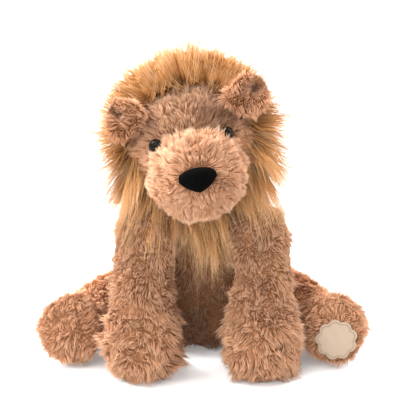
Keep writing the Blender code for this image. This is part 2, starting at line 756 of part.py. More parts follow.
def front_leg_form(name, sign, inset):
    rings = []
    side, back = Vector((1, 0, 0)), Vector((0, 1, 0))
    top = SHOULDER_HEIGHT + SHOULDER_ROUND
    for height, out, forward, width, depth in FRONT_LEG_ROW_SHARES:
        tall = inset + height * SHOULDER_HEIGHT * (top - 2 * inset) / top
        middle = Vector((sign * out * PAW_SIDE, SHOULDER_BACK - forward * PAW_FORWARD, tall))
        half_width = width * PAW_HALF_WIDTH - inset
        half_depth = depth * PAW_HALF_DEPTH - inset
        rings.append(ring(middle, side, back, half_width, half_depth, LIMB_AROUND))
    last_out = FRONT_LEG_ROW_SHARES[-1][1]
    reach = SHOULDER_ROUND - inset
    for height, depth, width in SHOULDER_ROW_SHARES:
        middle = Vector((sign * last_out * PAW_SIDE, SHOULDER_BACK, SHOULDER_HEIGHT + height * reach))
        half_width = width * PAW_HALF_WIDTH - inset
        rings.append(ring(middle, side, back, half_width, depth * reach, LIMB_AROUND))
    tip = Vector((sign * last_out * PAW_SIDE, SHOULDER_BACK, SHOULDER_HEIGHT + reach))
    return loft(name, rings, last_tip=tip)


def build_front_legs():
    for side, sign in SIDES:
        shoulder = spot(f"shoulder_{side}", (sign * SHOULDER_PLANE, SHOULDER_BACK, SHOULDER_HEIGHT))
        deep = SHOULDER_ROUND + OVERRUN
        low = (-OVERRUN, SHOULDER_BACK - deep, SHOULDER_HEIGHT - SHOULDER_CUT_DROP)
        high = (SHOULDER_PLANE + SEAM_GAP, SHOULDER_BACK + deep, SHOULDER_HEIGHT + deep)
        seam = hide(box(f"shoulder_seam_{side}", low, high))
        seam.scale.x = sign
        cover = front_leg_form(f"front_leg_cover_{side}", sign, 0)
        cut(cover, hide(front_leg_form(f"front_leg_inside_{side}", sign, PLUSH_WALL)), seam)
        filling = front_leg_form(f"front_leg_filling_{side}", sign, PLUSH_WALL + FILLING_GAP)
        cut(filling, seam)
        carry(cover, shoulder)
        carry(filling, shoulder)
        paint(cover, TAN_PLUSH)
        paint(filling, WHITE_FIBRE)


# Hind legs

def hind_leg_rings(sign, inset, end_back=0):
    """Rings from the hip to the sole; the last one can stand back to leave room for the sole."""
    rings = []
    last = len(HIP_HEADINGS) - 1
    root = HIP_PLANE + SEAM_GAP
    for step, shares in enumerate(HIND_LEG_ROW_SHARES):
        out, forward, height, width, tall = shares
        x = root + out * (FOOT_SIDE - root)
        y = HIP_BACK - forward * FOOT_FORWARD
        if step == last:
            y += end_back
        heading = math.radians(HIP_HEADINGS[step])
        side = Vector((sign * math.sin(heading), math.cos(heading), 0))
        middle = Vector((sign * x, y, height * FOOT_HEIGHT))
        half_width = width * FOOT_HALF_WIDTH - inset
        half_height = tall * FOOT_HALF_HEIGHT - inset
        rings.append(ring(middle, side, Vector((0, 0, 1)), half_width, half_height, LIMB_AROUND, inset))
    return rings


def sole_half_sizes():
    inset = PLUSH_WALL + SEAM_GAP
    _, _, _, width, tall = HIND_LEG_ROW_SHARES[-1]
    return width * FOOT_HALF_WIDTH - inset, tall * FOOT_HALF_HEIGHT - inset


def build_sole(side, sign, hip):
    half_width, half_height = sole_half_sizes()
    rings = []
    front = HIP_BACK - FOOT_FORWARD
    for depth in (front + SOLE_THICKNESS, front):
        middle = Vector((sign * FOOT_SIDE, depth, FOOT_HEIGHT))
        across, up = Vector((1, 0, 0)), Vector((0, 0, 1))
        rings.append(ring(middle, across, up, half_width, half_height, LIMB_AROUND))
    sole = loft(f"sole_panel_{side}", rings)
    carry(sole, hip)
    paint(sole, TAN_PLUSH)


def build_patch(hip):
    """The scalloped patch on the lion's left sole."""
    count = PATCH_SCALLOPS * PATCH_SCALLOP_POINTS
    front = HIP_BACK - FOOT_FORWARD - SEAM_GAP
    rings = []
    for depth in (front, front - PATCH_THICKNESS):
        points = []
        for step in range(count):
            turn = math.tau * step / count
            scallop = abs(math.sin(turn * PATCH_SCALLOPS / 2))
            radius = PATCH_RADIUS - PATCH_SCALLOP_DEPTH * (1 - scallop)
            across, up = radius * math.cos(turn), radius * math.sin(turn)
            points.append(Vector((FOOT_SIDE + across, depth, FOOT_HEIGHT + up)))
        rings.append(points)
    patch = loft("sole_patch", rings)
    carry(patch, hip)
    paint(patch, CREAM_FELT)


def build_hind_legs():
    for side, sign in SIDES:
        root_share = HIND_LEG_ROW_SHARES[0][2]
        hip = spot(f"hip_{side}", (sign * HIP_PLANE, HIP_BACK, root_share * FOOT_HEIGHT))
        skins = hind_leg_rings(sign, 0) + hind_leg_rings(sign, PLUSH_WALL)[::-1]
        cover = loft(f"hind_leg_cover_{side}", skins, tube=True)
        room = SOLE_THICKNESS + SEAM_GAP
        filling = loft(f"hind_leg_filling_{side}", hind_leg_rings(sign, PLUSH_WALL + FILLING_GAP, room))
        carry(cover, hip)
        carry(filling, hip)
        paint(cover, TAN_PLUSH)
        paint(filling, WHITE_FIBRE)
        build_sole(side, sign, hip)
        if side == "left":
            build_patch(hip)


# Tail

def tail_rings(inset):
    root = tail_root_place()
    up = Vector((0, 0, 1))
    first = root - Vector((0, TAIL_ROOT_LENGTH, 0))
    across = Vector((-1, 0, 0))
    rings = [ring(first, across, up, TAIL_ROOT_RADIUS - inset, TAIL_ROOT_RADIUS - inset, TAIL_AROUND)]
    for shares, heading in zip(TAIL_ROW_SHARES, TAIL_HEADINGS):
        out, back, drop, size = shares
        middle = root + Vector((out * TAIL_LENGTH, back * TAIL_LENGTH, -drop * TAIL_DROP))
        turn = math.radians(heading)
        across = Vector((-math.cos(turn), math.sin(turn), 0))
        half = size * TAIL_RADIUS - inset
        rings.append(ring(middle, across, up, half, half, TAIL_AROUND, inset))
    return rings


def tuft_middle():
    out, back, drop, _ = TAIL_ROW_SHARES[-1]
    end = tail_root_place() + Vector((out * TAIL_LENGTH, back * TAIL_LENGTH, 0))
    end.x += TUFT_HALF_LENGTH - TUFT_OVERLAP
    end.z = TUFT_HALF_WIDTH - TUFT_FLAT
    return end


def build_tail():
    root = spot("tail_root", tail_root_place())
    cover = loft("tail_cover", tail_rings(0) + tail_rings(THIN_WALL)[::-1], tube=True)
    filling = loft("tail_filling", tail_rings(THIN_WALL + FILLING_GAP))
    half = (TUFT_HALF_LENGTH, TUFT_HALF_WIDTH, TUFT_HALF_WIDTH)
    tuft = ball("tail_tuft", tuft_middle(), half, LIMB_AROUND, BALL_LEVELS, 0)
    cut(tuft, hide(loft("tail_in_tuft", tail_rings(-SEAM_GAP))))
    for piece, look in ((cover, TAN_PLUSH), (filling, WHITE_FIBRE), (tuft, MANE_PILE)):
        carry(piece, root)
        paint(piece, look)


def build():
    clear_scene()
    build_torso()
    build_chest_bib()
    neck = spot("neck_joint", (0, NECK_BACK, NECK_HEIGHT))
    build_neck(neck)
    lean = Matrix.Rotation(math.radians(-HEAD_LEAN), 4, "Y")
    look = Matrix.Rotation(math.radians(HEAD_LOOK), 4, "Z")
    middle = (HEAD_SIDE, NECK_BACK - HEAD_FORWARD, NECK_HEIGHT + HEAD_RISE)
    head = spot("head_middle", middle, look @ lean, neck)
    build_head(head)
    build_front_legs()
    build_hind_legs()
    build_tail()


build()
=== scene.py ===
"""A seated plush lion: short curly tan pile, a long golden mane, button eyes and a velour nose.

The toy faces -Y, its left side is at +X, and everything is in metres on the floor at Z = 0.
"""
import json
import math

import bmesh
import bpy
import numpy as np
from mathutils import Matrix, Vector, noise

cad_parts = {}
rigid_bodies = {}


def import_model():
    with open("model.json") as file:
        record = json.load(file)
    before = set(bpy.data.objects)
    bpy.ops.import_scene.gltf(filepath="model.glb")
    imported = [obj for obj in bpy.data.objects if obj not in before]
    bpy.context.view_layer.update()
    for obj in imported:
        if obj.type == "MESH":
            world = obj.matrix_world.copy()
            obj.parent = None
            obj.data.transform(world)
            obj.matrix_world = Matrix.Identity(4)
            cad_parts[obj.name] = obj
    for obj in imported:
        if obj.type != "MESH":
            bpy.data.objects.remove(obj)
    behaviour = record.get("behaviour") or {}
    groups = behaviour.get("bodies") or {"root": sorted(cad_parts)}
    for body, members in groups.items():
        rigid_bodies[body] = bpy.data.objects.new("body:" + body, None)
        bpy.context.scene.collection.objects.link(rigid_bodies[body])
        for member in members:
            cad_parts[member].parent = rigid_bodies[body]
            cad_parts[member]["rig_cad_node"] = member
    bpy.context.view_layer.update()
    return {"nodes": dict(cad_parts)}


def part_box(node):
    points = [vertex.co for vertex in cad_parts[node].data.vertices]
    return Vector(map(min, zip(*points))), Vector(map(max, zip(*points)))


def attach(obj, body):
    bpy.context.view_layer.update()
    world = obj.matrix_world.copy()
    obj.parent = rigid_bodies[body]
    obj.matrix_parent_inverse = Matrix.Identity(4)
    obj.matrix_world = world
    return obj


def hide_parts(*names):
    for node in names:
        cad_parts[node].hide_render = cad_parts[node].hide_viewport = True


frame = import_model()


# The stand: a pale sheet, soft light from the front and above, and a camera a little above the toy.
# A wide lamp in front gives the pile its shape, and the pale surround lights it from all sides.
LOOK_AT = Vector((0.00456, -0.057, 0.1373))
LOOK_DISTANCE = 1.35
LOOK_DOWN = math.radians(16)
LENS, SENSOR_WIDTH = 133.5, 36
LAMP_AIM = (0, 0, 0.10)
SKY_PLACE, SKY_SPREAD, SKY_POWER = (-0.90, -0.95, 1.65), math.radians(75), 4.2
SIDE_OUT, SIDE_BACK, SIDE_UP, SIDE_WIDTH = 1.2, 0.35, 1.15, 0.9
SIDE_POWERS = {-1: 50, 1: 30}
SURROUND_POWER = 0.55
SHEET_HALF = 3.0
camera = bpy.data.objects.new("camera", bpy.data.cameras.new("camera"))
bpy.context.scene.collection.objects.link(camera)
camera.data.lens = LENS
camera.data.sensor_width = SENSOR_WIDTH
camera.rotation_euler = (math.pi / 2 - LOOK_DOWN, 0, 0)
camera.location = LOOK_AT + LOOK_DISTANCE * Vector((0, -math.cos(LOOK_DOWN), math.sin(LOOK_DOWN)))
bpy.context.scene.camera = camera


def lamp(name, kind, place, width, power):
    light = bpy.data.lights.new(name, kind)
    light.energy = power
    if kind == "SUN":
        light.angle = width
    else:
        light.size = width
    holder = bpy.data.objects.new(name, light)
    bpy.context.scene.collection.objects.link(holder)
    holder.location = place
    holder.rotation_euler = (Vector(LAMP_AIM) - Vector(place)).to_track_quat("-Z", "Y").to_euler()


lamp("sky_lamp", "SUN", SKY_PLACE, SKY_SPREAD, SKY_POWER)
for sign, power in SIDE_POWERS.items():
    lamp("side_lamp", "AREA", (sign * SIDE_OUT, SIDE_BACK, SIDE_UP), SIDE_WIDTH, power)
surround = bpy.data.worlds.new("surround")
surround.use_nodes = True
surround.node_tree.nodes["Background"].inputs["Color"].default_value = (1, 1, 1, 1)
surround.node_tree.nodes["Background"].inputs["Strength"].default_value = SURROUND_POWER
bpy.context.scene.world = surround
bpy.context.scene.view_settings.view_transform = "Standard"


def link_object(name, mesh):
    piece = bpy.data.objects.new(name, mesh)
    bpy.context.scene.collection.objects.link(piece)
    return piece


def new_mesh(name, points, faces):
    mesh = bpy.data.meshes.new(name)
    mesh.from_pydata(points, [], faces)
    return mesh


class Socket:
    """A value in a node tree. A sum or a product of these adds its own maths nodes."""

    def __init__(self, tree, link):
        self.tree = tree
        self.link = link

    def out(self, name):
        found = [s for s in self.link.node.outputs if s.name == name and s.enabled]
        return Socket(self.tree, found[0])

    def maths(self, operation, first, second):
        vectors = [is_vector(first), is_vector(second)]
        if not any(vectors):
            return add_node(self.tree, "ShaderNodeMath", {"operation": operation}, {0: first, 1: second})
        if all(vectors):
            return add_node(self.tree, "ShaderNodeVectorMath", {"operation": operation}, {0: first, 1: second})
        vector, number = (first, second) if vectors[0] else (second, first)
        return add_node(self.tree, "ShaderNodeVectorMath", {"operation": "SCALE"}, {0: vector, "Scale": number})

    def __add__(self, other):
        return self.maths("ADD", self, other)

    def __radd__(self, other):
        return self.maths("ADD", other, self)

    def __sub__(self, other):
        return self.maths("SUBTRACT", self, other)

    def __rsub__(self, other):
        return self.maths("SUBTRACT", other, self)

    def __mul__(self, other):
        return self.maths("MULTIPLY", self, other)

    def __rtruediv__(self, other):
        return self.maths("DIVIDE", other, self)

    def __pow__(self, other):
        return self.maths("POWER", self, other)


def is_vector(value):
    if isinstance(value, Socket):
        return value.link.type in ("VECTOR", "RGBA")
    return isinstance(value, (tuple, Vector))


def put(tree, value, socket):
    """Links a value of the tree to a socket, or sets the socket to a constant."""
    if isinstance(value, Socket):
        tree.links.new(value.link, socket)
    else:
        socket.default_value = value


def add_node(tree, kind, settings=None, values=None):
    """Adds a node, sets its settings and then its sockets, and returns its first output in use."""
    node = tree.nodes.new(kind)
    for key, value in (settings or {}).items():
        setattr(node, key, value)
    for key, value in (values or {}).items():
        by_name = [s for s in node.inputs if s.name == key and s.enabled]
        put(tree, value, node.inputs[key] if isinstance(key, int) else by_name[0])
    outlets = [s for s in node.outputs if s.enabled]
    return Socket(tree, outlets[0]) if outlets else None


def new_finish(name):
    """A material, its node tree and a call that sets the sockets of its shader."""
    material = bpy.data.materials.new(name)
    material.use_nodes = True
    tree = material.node_tree
    shader = tree.nodes["Principled BSDF"]

    def set_shader(**values):
        for key, value in values.items():
            put(tree, value, shader.inputs[key.replace("_", " ")])

    return material, tree, set_shader


def object_place(tree):
    return add_node(tree, "ShaderNodeTexCoord").out("Object")


def speckle(tree, scale, detail, **values):
    """A noise over the piece's own surface."""
    values.update(Vector=object_place(tree), Scale=scale, Detail=detail)
    return add_node(tree, "ShaderNodeTexNoise", {}, values)


def bump(tree, height, strength, distance):
    return add_node(tree, "ShaderNodeBump", {}, {"Strength": strength, "Distance": distance, "Height": height})


def blend_colours(tree, share, first, second):
    node = tree.nodes.new("ShaderNodeMix")
    node.data_type = "RGBA"
    for index, value in ((0, share), (6, first), (7, second)):
        if index > 0 and isinstance(value, tuple):
            value = (*value, 1)
        put(tree, value, node.inputs[index])
    return Socket(tree, node.outputs[2])


def sheet_finish():
    material, tree, set_shader = new_finish("pale_sheet")
    tone = blend_colours(tree, speckle(tree, 40.0, 3.0), (0.76, 0.76, 0.76), (0.80, 0.80, 0.80))
    set_shader(Base_Color=tone, Roughness=0.9, Emission_Color=(1, 1, 1, 1), Emission_Strength=0.22)
    return material


corners = [(-SHEET_HALF, -SHEET_HALF, 0), (SHEET_HALF, -SHEET_HALF, 0), (SHEET_HALF, SHEET_HALF, 0), (-SHEET_HALF, SHEET_HALF, 0)]
sheet_mesh = new_mesh("pale_sheet", corners, [(0, 1, 2, 3)])
sheet_mesh.materials.append(sheet_finish())
pale_sheet = link_object("pale_sheet", sheet_mesh)
pale_sheet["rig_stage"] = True


# Head: a stuffed ball of short tan plush that leans to the lion's right and looks a little to its left.
# Its skin is knitted cloth that lies under the tips of the pile, which is combed away from the nose,
# cropped round the eyes and fuller at the cheeks. The pile's colour is a darker copy of the tan pile as
# painted shade, lightened at the cheeks and darkened further along the hairline, where the mane meets it.
PILE_DEPTH = 0.0048
HEAD_MIDDLE = Vector((-0.0094, -0.0720, 0.2020))
HEAD_LOOK, HEAD_LEAN = math.radians(2.5), math.radians(-10)
HEAD_TURN = Matrix.Rotation(HEAD_LOOK, 4, "Z") @ Matrix.Rotation(HEAD_LEAN, 4, "Y")
HEAD_PLACE = Matrix.Translation(HEAD_MIDDLE) @ HEAD_TURN
SKULL_HALF = Vector((0.0540, 0.0500, 0.0530))
MUZZLE_HALF = Vector((0.0437, 0.0400, 0.0380))
MUZZLE_MIDDLE = Vector((0, -0.0470, -0.0205))
NOSE_MIDDLE = MUZZLE_MIDDLE + Vector((0, -MUZZLE_HALF.y, 0.0085))
EYE_SIDE, EYE_LIFT = 0.0288, 0.0095
LEFT_CLEARING, RIGHT_CLEARING = 0.0135, 0.0125
HEAD_PILE_BACK = -0.0040
CHEEK_TOP, CHEEK_FADE, CHEEK_SIDE = 0.0200, 0.0220, 0.0360
HAIRLINE_START, HAIRLINE_FADE, HAIRLINE_LIFT = -0.0240, 0.0120, 0.0200


def points_of(mesh):
    flat = np.zeros(3 * len(mesh.vertices), np.float32)
    mesh.vertices.foreach_get("co", flat)
    return flat.reshape(-1, 3).astype(float)


def normals_of(mesh):
    flat = np.zeros(3 * len(mesh.vertices), np.float32)
    mesh.vertex_normals.foreach_get("vector", flat)
    return flat.reshape(-1, 3).astype(float)


def set_points(mesh, points):
    mesh.vertices.foreach_set("co", np.asarray(points, np.float32).ravel())
    mesh.update()


def unit(vectors):
    return vectors / np.maximum(np.linalg.norm(vectors, axis=-1, keepdims=True), 1e-9)


def along_surface(vectors, normals):
    """Each vector without the part that points out of the surface."""
    return vectors - normals * np.sum(vectors * normals, axis=-1, keepdims=True)


def combed(way, normals, strength):
    """How pile lies that is combed one way, or a way for each point, at one strength."""
    return unit(along_surface(np.asarray(way, float), normals)) * strength


def past(values, start, span):
    """0 up to the start, and 1 from a span past it."""
    return np.clip((values - start) / span, 0, 1)


def below(values, start, span):
    """0 down to the start, and 1 from a span below it."""
    return np.clip((start - values) / span, 0, 1)


def near(points, middle, radius, stretch=(1, 1, 1)):
    """1 at a place, fading to 0 at the radius round it. A stretched axis fades sooner."""
    distance = np.linalg.norm(points * np.array(stretch) - np.array(middle) * np.array(stretch), axis=1)
    return np.clip(1 - distance / radius, 0, 1)


def lumps(mesh, size, height, seed):
    """Moves a skin in and out by soft lumps, as loose filling does."""
    points, normals = points_of(mesh), normals_of(mesh)
    shift = Vector((seed, 2.0 * seed, -seed))
    rise = np.array([noise.noise(Vector(p) / size + shift) for p in points])
    set_points(mesh, points + normals * (height * rise)[:, None])


def ball_skin(name, middle, half, place=Matrix(), around=40, levels=26):
    """A closed egg of quads and two fans, drawn round its middle and put in place."""
    points = [(0, 0, 1)]
    for level in range(1, levels):
        turn = math.pi * level / levels
        for step in range(around):
            angle = math.tau * step / around
            points.append((math.sin(turn) * math.cos(angle), math.sin(turn) * math.sin(angle), math.cos(turn)))
    points.append((0, 0, -1))
    last = len(points) - 1
    faces = []
    for step in range(around):
        after = (step + 1) % around
        faces.append((0, 1 + step, 1 + after))
        faces.append((last, last - around + after, last - around + step))
        for level in range(levels - 2):
            low, high = 1 + level * around, 1 + (level + 1) * around
            faces.append((low + step, high + step, high + after, low + after))
    mesh = new_mesh(name, [place @ (Vector(middle) + Vector(p) * Vector(half)) for p in points], faces)
    mesh.shade_smooth()
    return mesh


def new_tree(name, inlets, outlet):
    """An empty tree of geometry nodes with named inputs, and the node that holds them."""
    tree = bpy.data.node_groups.new(name, "GeometryNodeTree")
    tree.is_modifier = True
    for kind, labels in inlets.items():
        for label in labels:
            tree.interface.new_socket(name=label, in_out="INPUT", socket_type="NodeSocket" + kind)
    tree.interface.new_socket(name=outlet, in_out="OUTPUT", socket_type="NodeSocketGeometry")
    return tree, add_node(tree, "NodeGroupInput")


def pile_tree():
    """Grows strands on a skin: each starts along its root's rise, ends along its sweep and bows to its tuft."""
    tree, inlet = new_tree("pile", {
        "Geometry": ("Skin",),
        "Float": ("Density", "Length", "Uneven", "Thickness", "Rise", "Swirl", "Swirl Size", "Tuft Size", "Tuft Pull",
                  "Stray", "Lump", "Wave", "Droop", "Taper"),
        "Int": ("Joints", "Seed"),
        "Material": ("Finish",),
    }, "Pile")

    def held(name, kind="FLOAT"):
        return add_node(tree, "GeometryNodeInputNamedAttribute", {"data_type": kind}, {"Name": name})

    def held_vector(name):
        return held(name, "FLOAT_VECTOR")

    def keep(geometry, name, value, kind="FLOAT"):
        settings = {"data_type": kind, "domain": "POINT"}
        values = {"Geometry": geometry, "Name": name, "Value": value}
        return add_node(tree, "GeometryNodeStoreNamedAttribute", settings, values)

    def chance(low, high, seed, kind="FLOAT"):
        values = {"Min": low, "Max": high, "Seed": inlet.out("Seed") + seed}
        return add_node(tree, "FunctionNodeRandomValue", {"data_type": kind}, values)

    def texture(kind, settings, scale, **values):
        values.update(Vector=place, Scale=scale)
        return add_node(tree, kind, settings, values)

    roots = add_node(tree, "GeometryNodeDistributePointsOnFaces", {"distribute_method": "RANDOM"}, {
        "Mesh": inlet.out("Skin"), "Density": inlet.out("Density") * held("cover"), "Seed": inlet.out("Seed"),
    })
    normal = roots.out("Normal")
    place = add_node(tree, "GeometryNodeInputPosition")
    middle_grey = (0.5, 0.5, 0.5)
    swirl = texture("ShaderNodeTexNoise", {"noise_dimensions": "3D"}, 1 / inlet.out("Swirl Size"), Detail=1.0).out("Color")
    swirl = (swirl - middle_grey) * (inlet.out("Swirl") * 4)
    tufts = texture("ShaderNodeTexVoronoi", {"voronoi_dimensions": "3D", "feature": "F1"}, 1 / inlet.out("Tuft Size"))
    tuft_way = tufts.out("Color") - middle_grey
    tuft_shade = add_node(tree, "ShaderNodeVectorMath", {"operation": "DOT_PRODUCT"}, {
        0: tufts.out("Color"), 1: (0.5, 0.3, 0.2),
    }).out("Value")
    pull = (tufts.out("Position") - place) * (inlet.out("Tuft Pull") * chance(0.6, 1.2, 3))
    stray = tuft_way * inlet.out("Stray")
    rise = normal * inlet.out("Rise") + held_vector("comb") * 0.5 + swirl * 0.35 + stray * 0.6
    jitter = chance((-0.18, -0.18, -0.18), (0.18, 0.18, 0.18), 7, "FLOAT_VECTOR")
    down = add_node(tree, "ShaderNodeCombineXYZ", {}, {"Z": 0 - inlet.out("Droop")})
    sweep = held_vector("comb") * 1.5 + swirl + stray * 1.4 + down + jitter + normal * (inlet.out("Rise") * 0.35)
    lump = texture("ShaderNodeTexNoise", {"noise_dimensions": "3D"}, 1.6 / inlet.out("Swirl Size"), Detail=2.0)
    lump = add_node(tree, "ShaderNodeMapRange", {}, {"Value": lump, "From Min": 0.32, "From Max": 0.68})
    lump = lump * 0.65 + tuft_shade * 0.7
    uneven = 1 - inlet.out("Uneven") * chance(0, 1, 1)
    reach = inlet.out("Length") * held("reach") * uneven * (1 - inlet.out("Lump") * lump)
    points = roots
    for name, value in (("root", place), ("rise", rise), ("sweep", sweep), ("pull", pull), ("side", tuft_way)):
        points = keep(points, name, value, "FLOAT_VECTOR")
    for name, value in (("dark", held("shade")), ("long", reach), ("tint", chance(0, 1, 2)), ("tuft", tuft_shade)):
        points = keep(points, name, value)
    strand = add_node(tree, "GeometryNodeCurvePrimitiveLine", {}, {"End": (0, 0, 1)})
    strand = add_node(tree, "GeometryNodeResampleCurve", {}, {"Curve": strand, "Count": inlet.out("Joints")})
    strands = add_node(tree, "GeometryNodeInstanceOnPoints", {}, {"Points": points, "Instance": strand})
    strands = add_node(tree, "GeometryNodeRealizeInstances", {}, {"Geometry": strands})
    t = add_node(tree, "GeometryNodeSplineParameter")
    half = t * t * 0.5
    bend = held_vector("rise") * (t - half) + held_vector("sweep") * half
    wave = add_node(tree, "ShaderNodeMath", {"operation": "SINE"}, {0: t * 7.5 + held("tuft") * 12})
    path = held_vector("root") + bend * held("long") + held_vector("pull") * t
    path = path + held_vector("side") * (wave * t * inlet.out("Wave"))
    strands = add_node(tree, "GeometryNodeSetPosition", {}, {"Geometry": strands, "Position": path})
    strands = keep(strands, "along", t)
    width = inlet.out("Thickness") * 0.5 * (1 - t ** inlet.out("Taper"))
    outline = add_node(tree, "GeometryNodeCurvePrimitiveCircle", {}, {"Resolution": 3, "Radius": 1.0})
    sweeping = {"Curve": strands, "Profile Curve": outline, "Scale": width, "Fill Caps": True}
    pile = add_node(tree, "GeometryNodeCurveToMesh", {}, sweeping)
    pile = add_node(tree, "GeometryNodeMergeByDistance", {}, {"Geometry": pile, "Distance": 0.00001})
    pile = add_node(tree, "GeometryNodeSetShadeSmooth", {}, {"Geometry": pile, "Shade Smooth": True})
    pile = add_node(tree, "GeometryNodeRealizeInstances", {}, {"Geometry": pile})
    pile = add_node(tree, "GeometryNodeSetMaterial", {}, {"Geometry": pile, "Material": inlet.out("Finish")})
    add_node(tree, "NodeGroupOutput", {}, {"Pile": pile})
    return tree


PILE = pile_tree()


def hold(mesh, name, values, kind="FLOAT"):
    """Keeps one value for all points of a mesh, or one for each, under a name."""
    shape = (len(mesh.vertices), 3) if kind == "FLOAT_VECTOR" else len(mesh.vertices)
    field = mesh.attributes.new(name, kind, "POINT")
    label = "vector" if kind == "FLOAT_VECTOR" else "value"
    field.data.foreach_set(label, np.broadcast_to(values, shape).astype(np.float32).ravel())


def evaluated_mesh(piece):
    depsgraph = bpy.context.evaluated_depsgraph_get()
    depsgraph.update()
    return bpy.data.meshes.new_from_object(piece.evaluated_get(depsgraph), depsgraph=depsgraph)


def made_by_tree(tree, base, sizes):
    """The plain mesh that a tree makes from an object, with the tree's inputs set by their names."""
    step = base.modifiers.new(tree.name, "NODES")
    step.node_group = tree
    for item in tree.interface.items_tree:
        label = item.name.replace(" ", "_")
        if item.in_out == "INPUT" and label in sizes:
            step[item.identifier] = sizes[label]
    made = evaluated_mesh(base)
    base.modifiers.remove(step)
    return made


def join(piece, other):
    with bpy.context.temp_override(active_object=piece, selected_editable_objects=[piece, other], object=piece):
        bpy.ops.object.join()


def grow(name, skin, comb, backing, pile, reach=1.0, cover=1.0, shade=0.0, **changes):
    """Grows the pile on a skin and returns the skin and its strands as one mesh object."""
    # The shade is painted light and shade on the strands' colour: above 0 darker, below 0 lighter.
    hold(skin, "shade", shade)
    hold(skin, "comb", comb, "FLOAT_VECTOR")
    hold(skin, "reach", reach)
    hold(skin, "cover", cover)
    base = link_object(name + "_skin", skin)
    strands = made_by_tree(PILE, base, {**pile, **changes})
    for spare in ("root", "rise", "sweep", "pull", "side", "long"):
        if spare in strands.attributes:
            strands.attributes.remove(strands.attributes[spare])
    for spare in ("comb", "reach", "cover", "shade"):
        skin.attributes.remove(skin.attributes[spare])
    for label in ("along", "tint", "tuft"):
        hold(skin, label, 0.0)
    hold(skin, "dark", shade)
    skin.materials.append(backing)
    piece = link_object(name, strands)
    join(piece, base)
    return piece


def pile_finish(name, root, middle, tip, rough=0.85, turn=0.45, shine=0.12):
    """Dyed pile, paler at the tip and darker at the root, partly as painted shade where strands crowd; each strand and
    tuft a little different.
    """
    material, tree, set_shader = new_finish(name)
    labels = ("along", "tint", "tuft", "dark")
    along, tint, tuft, dark = [add_node(tree, "ShaderNodeAttribute", {"attribute_name": s}).out("Fac") for s in labels]
    low = add_node(tree, "ShaderNodeMapRange", {}, {"Value": along, "From Max": turn})
    high = add_node(tree, "ShaderNodeMapRange", {}, {"Value": along, "From Min": turn})
    colour = blend_colours(tree, high, blend_colours(tree, low, root, middle), tip)
    # Painted light and shade that each piece gives its strands: darker where the value is above 0, lighter where it is
    # below 0.
    colour = colour * ((0.82 + tint * 0.12 + tuft * 0.28) * (1 - dark))
    set_shader(Base_Color=colour, Roughness=rough, Sheen_Weight=shine / 2, Sheen_Roughness=0.5, Specular_IOR_Level=shine)
    return material


def cloth_finish(name, colour, scale=900.0):
    """Knitted backing cloth between the roots of the pile."""
    material, tree, set_shader = new_finish(name)
    rib = speckle(tree, scale, 2.0)
    tone = blend_colours(tree, rib, tuple(0.7 * c for c in colour), tuple(1.2 * c for c in colour))
    set_shader(Base_Color=tone, Roughness=0.95, Normal=bump(tree, rib, 0.4, 0.0004), Specular_IOR_Level=0.2)
    return material


TAN = pile_finish("tan_pile", (0.30, 0.130, 0.058), (0.56, 0.285, 0.152), (0.74, 0.460, 0.300))
# A darker copy of the tan pile as painted shade, for the head and for the ears' hollows.
SHADED_TAN = pile_finish("brow_pile", (0.20, 0.084, 0.037), (0.36, 0.180, 0.095), (0.48, 0.286, 0.176))
TAN_BACKING = cloth_finish("tan_backing", (0.22, 0.096, 0.044))
FACE_PILE = dict(Uneven=0.35, Thickness=0.00050, Joints=3, Droop=0.05, Taper=3.0)


def dress(piece, body, node):
    """Lets a piece ride on a body, and hides the node that it stands for."""
    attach(piece, body)
    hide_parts(node)


def head_local(points):
    """Points in the head's own frame, where it faces -Y and its middle is at zero."""
    back = np.array(HEAD_PLACE.inverted())
    return points @ back[:3, :3].T + back[:3, 3]


def head_world(vectors):
    return vectors @ np.array(HEAD_TURN.to_3x3()).T


def skull_place(side, lift):
    """A point on the face, given by its place across and up, and the way that the face looks there."""
    share = (side / SKULL_HALF.x) ** 2 + (lift / SKULL_HALF.z) ** 2
    forward = -SKULL_HALF.y * math.sqrt(1 - share)
    faces = Vector((side / SKULL_HALF.x**2, forward / SKULL_HALF.y**2, lift / SKULL_HALF.z**2)).normalized()
    return Vector((side, forward, lift)), faces


inset = Vector((PILE_DEPTH,) * 3)
skin = ball_skin("head_skin", (0, 0, 0), SKULL_HALF - inset, HEAD_PLACE, 56, 36)
lumps(skin, 0.026, 0.0016, 3.0)
local = head_local(points_of(skin))
comb = combed(head_world(unit(local - np.array(NOSE_MIDDLE) - np.array((0, 0.02, 0)))), normals_of(skin), 0.75)
left_eye, right_eye = skull_place(EYE_SIDE, EYE_LIFT)[0], skull_place(-EYE_SIDE, EYE_LIFT)[0]
eyes = np.maximum(near(local, left_eye, LEFT_CLEARING), near(local, right_eye, RIGHT_CLEARING))
cheeks = below(local[:, 2], CHEEK_TOP, CHEEK_FADE) * past(np.abs(local[:, 0]), 0, CHEEK_SIDE)
hairline = past(local[:, 1], HAIRLINE_START, HAIRLINE_FADE) * past(local[:, 2], 0, HAIRLINE_LIFT)
reach = (1 - 0.70 * np.clip(eyes * 1.6, 0, 1)) * (1 + 0.35 * cheeks)
cover = np.where((local[:, 1] > HEAD_PILE_BACK) | (eyes > 0.55), 0.0, 1.0)
# Painted light and shade: the pile is lighter at the cheeks and darker along the hairline under the mane's edge.
shade = 0.42 * hairline - 0.60 * cheeks
piece = grow(
    "head_plush", skin, comb, TAN_BACKING, FACE_PILE, reach, cover, shade, Finish=SHADED_TAN, Density=1.3e6, Length=0.0112,
    Rise=0.62, Swirl=0.60, Swirl_Size=0.014, Stray=0.20, Tuft_Size=0.0044, Tuft_Pull=0.40, Lump=0.32, Wave=0.0009, Seed=11,
)
dress(piece, "head", "head_cover")


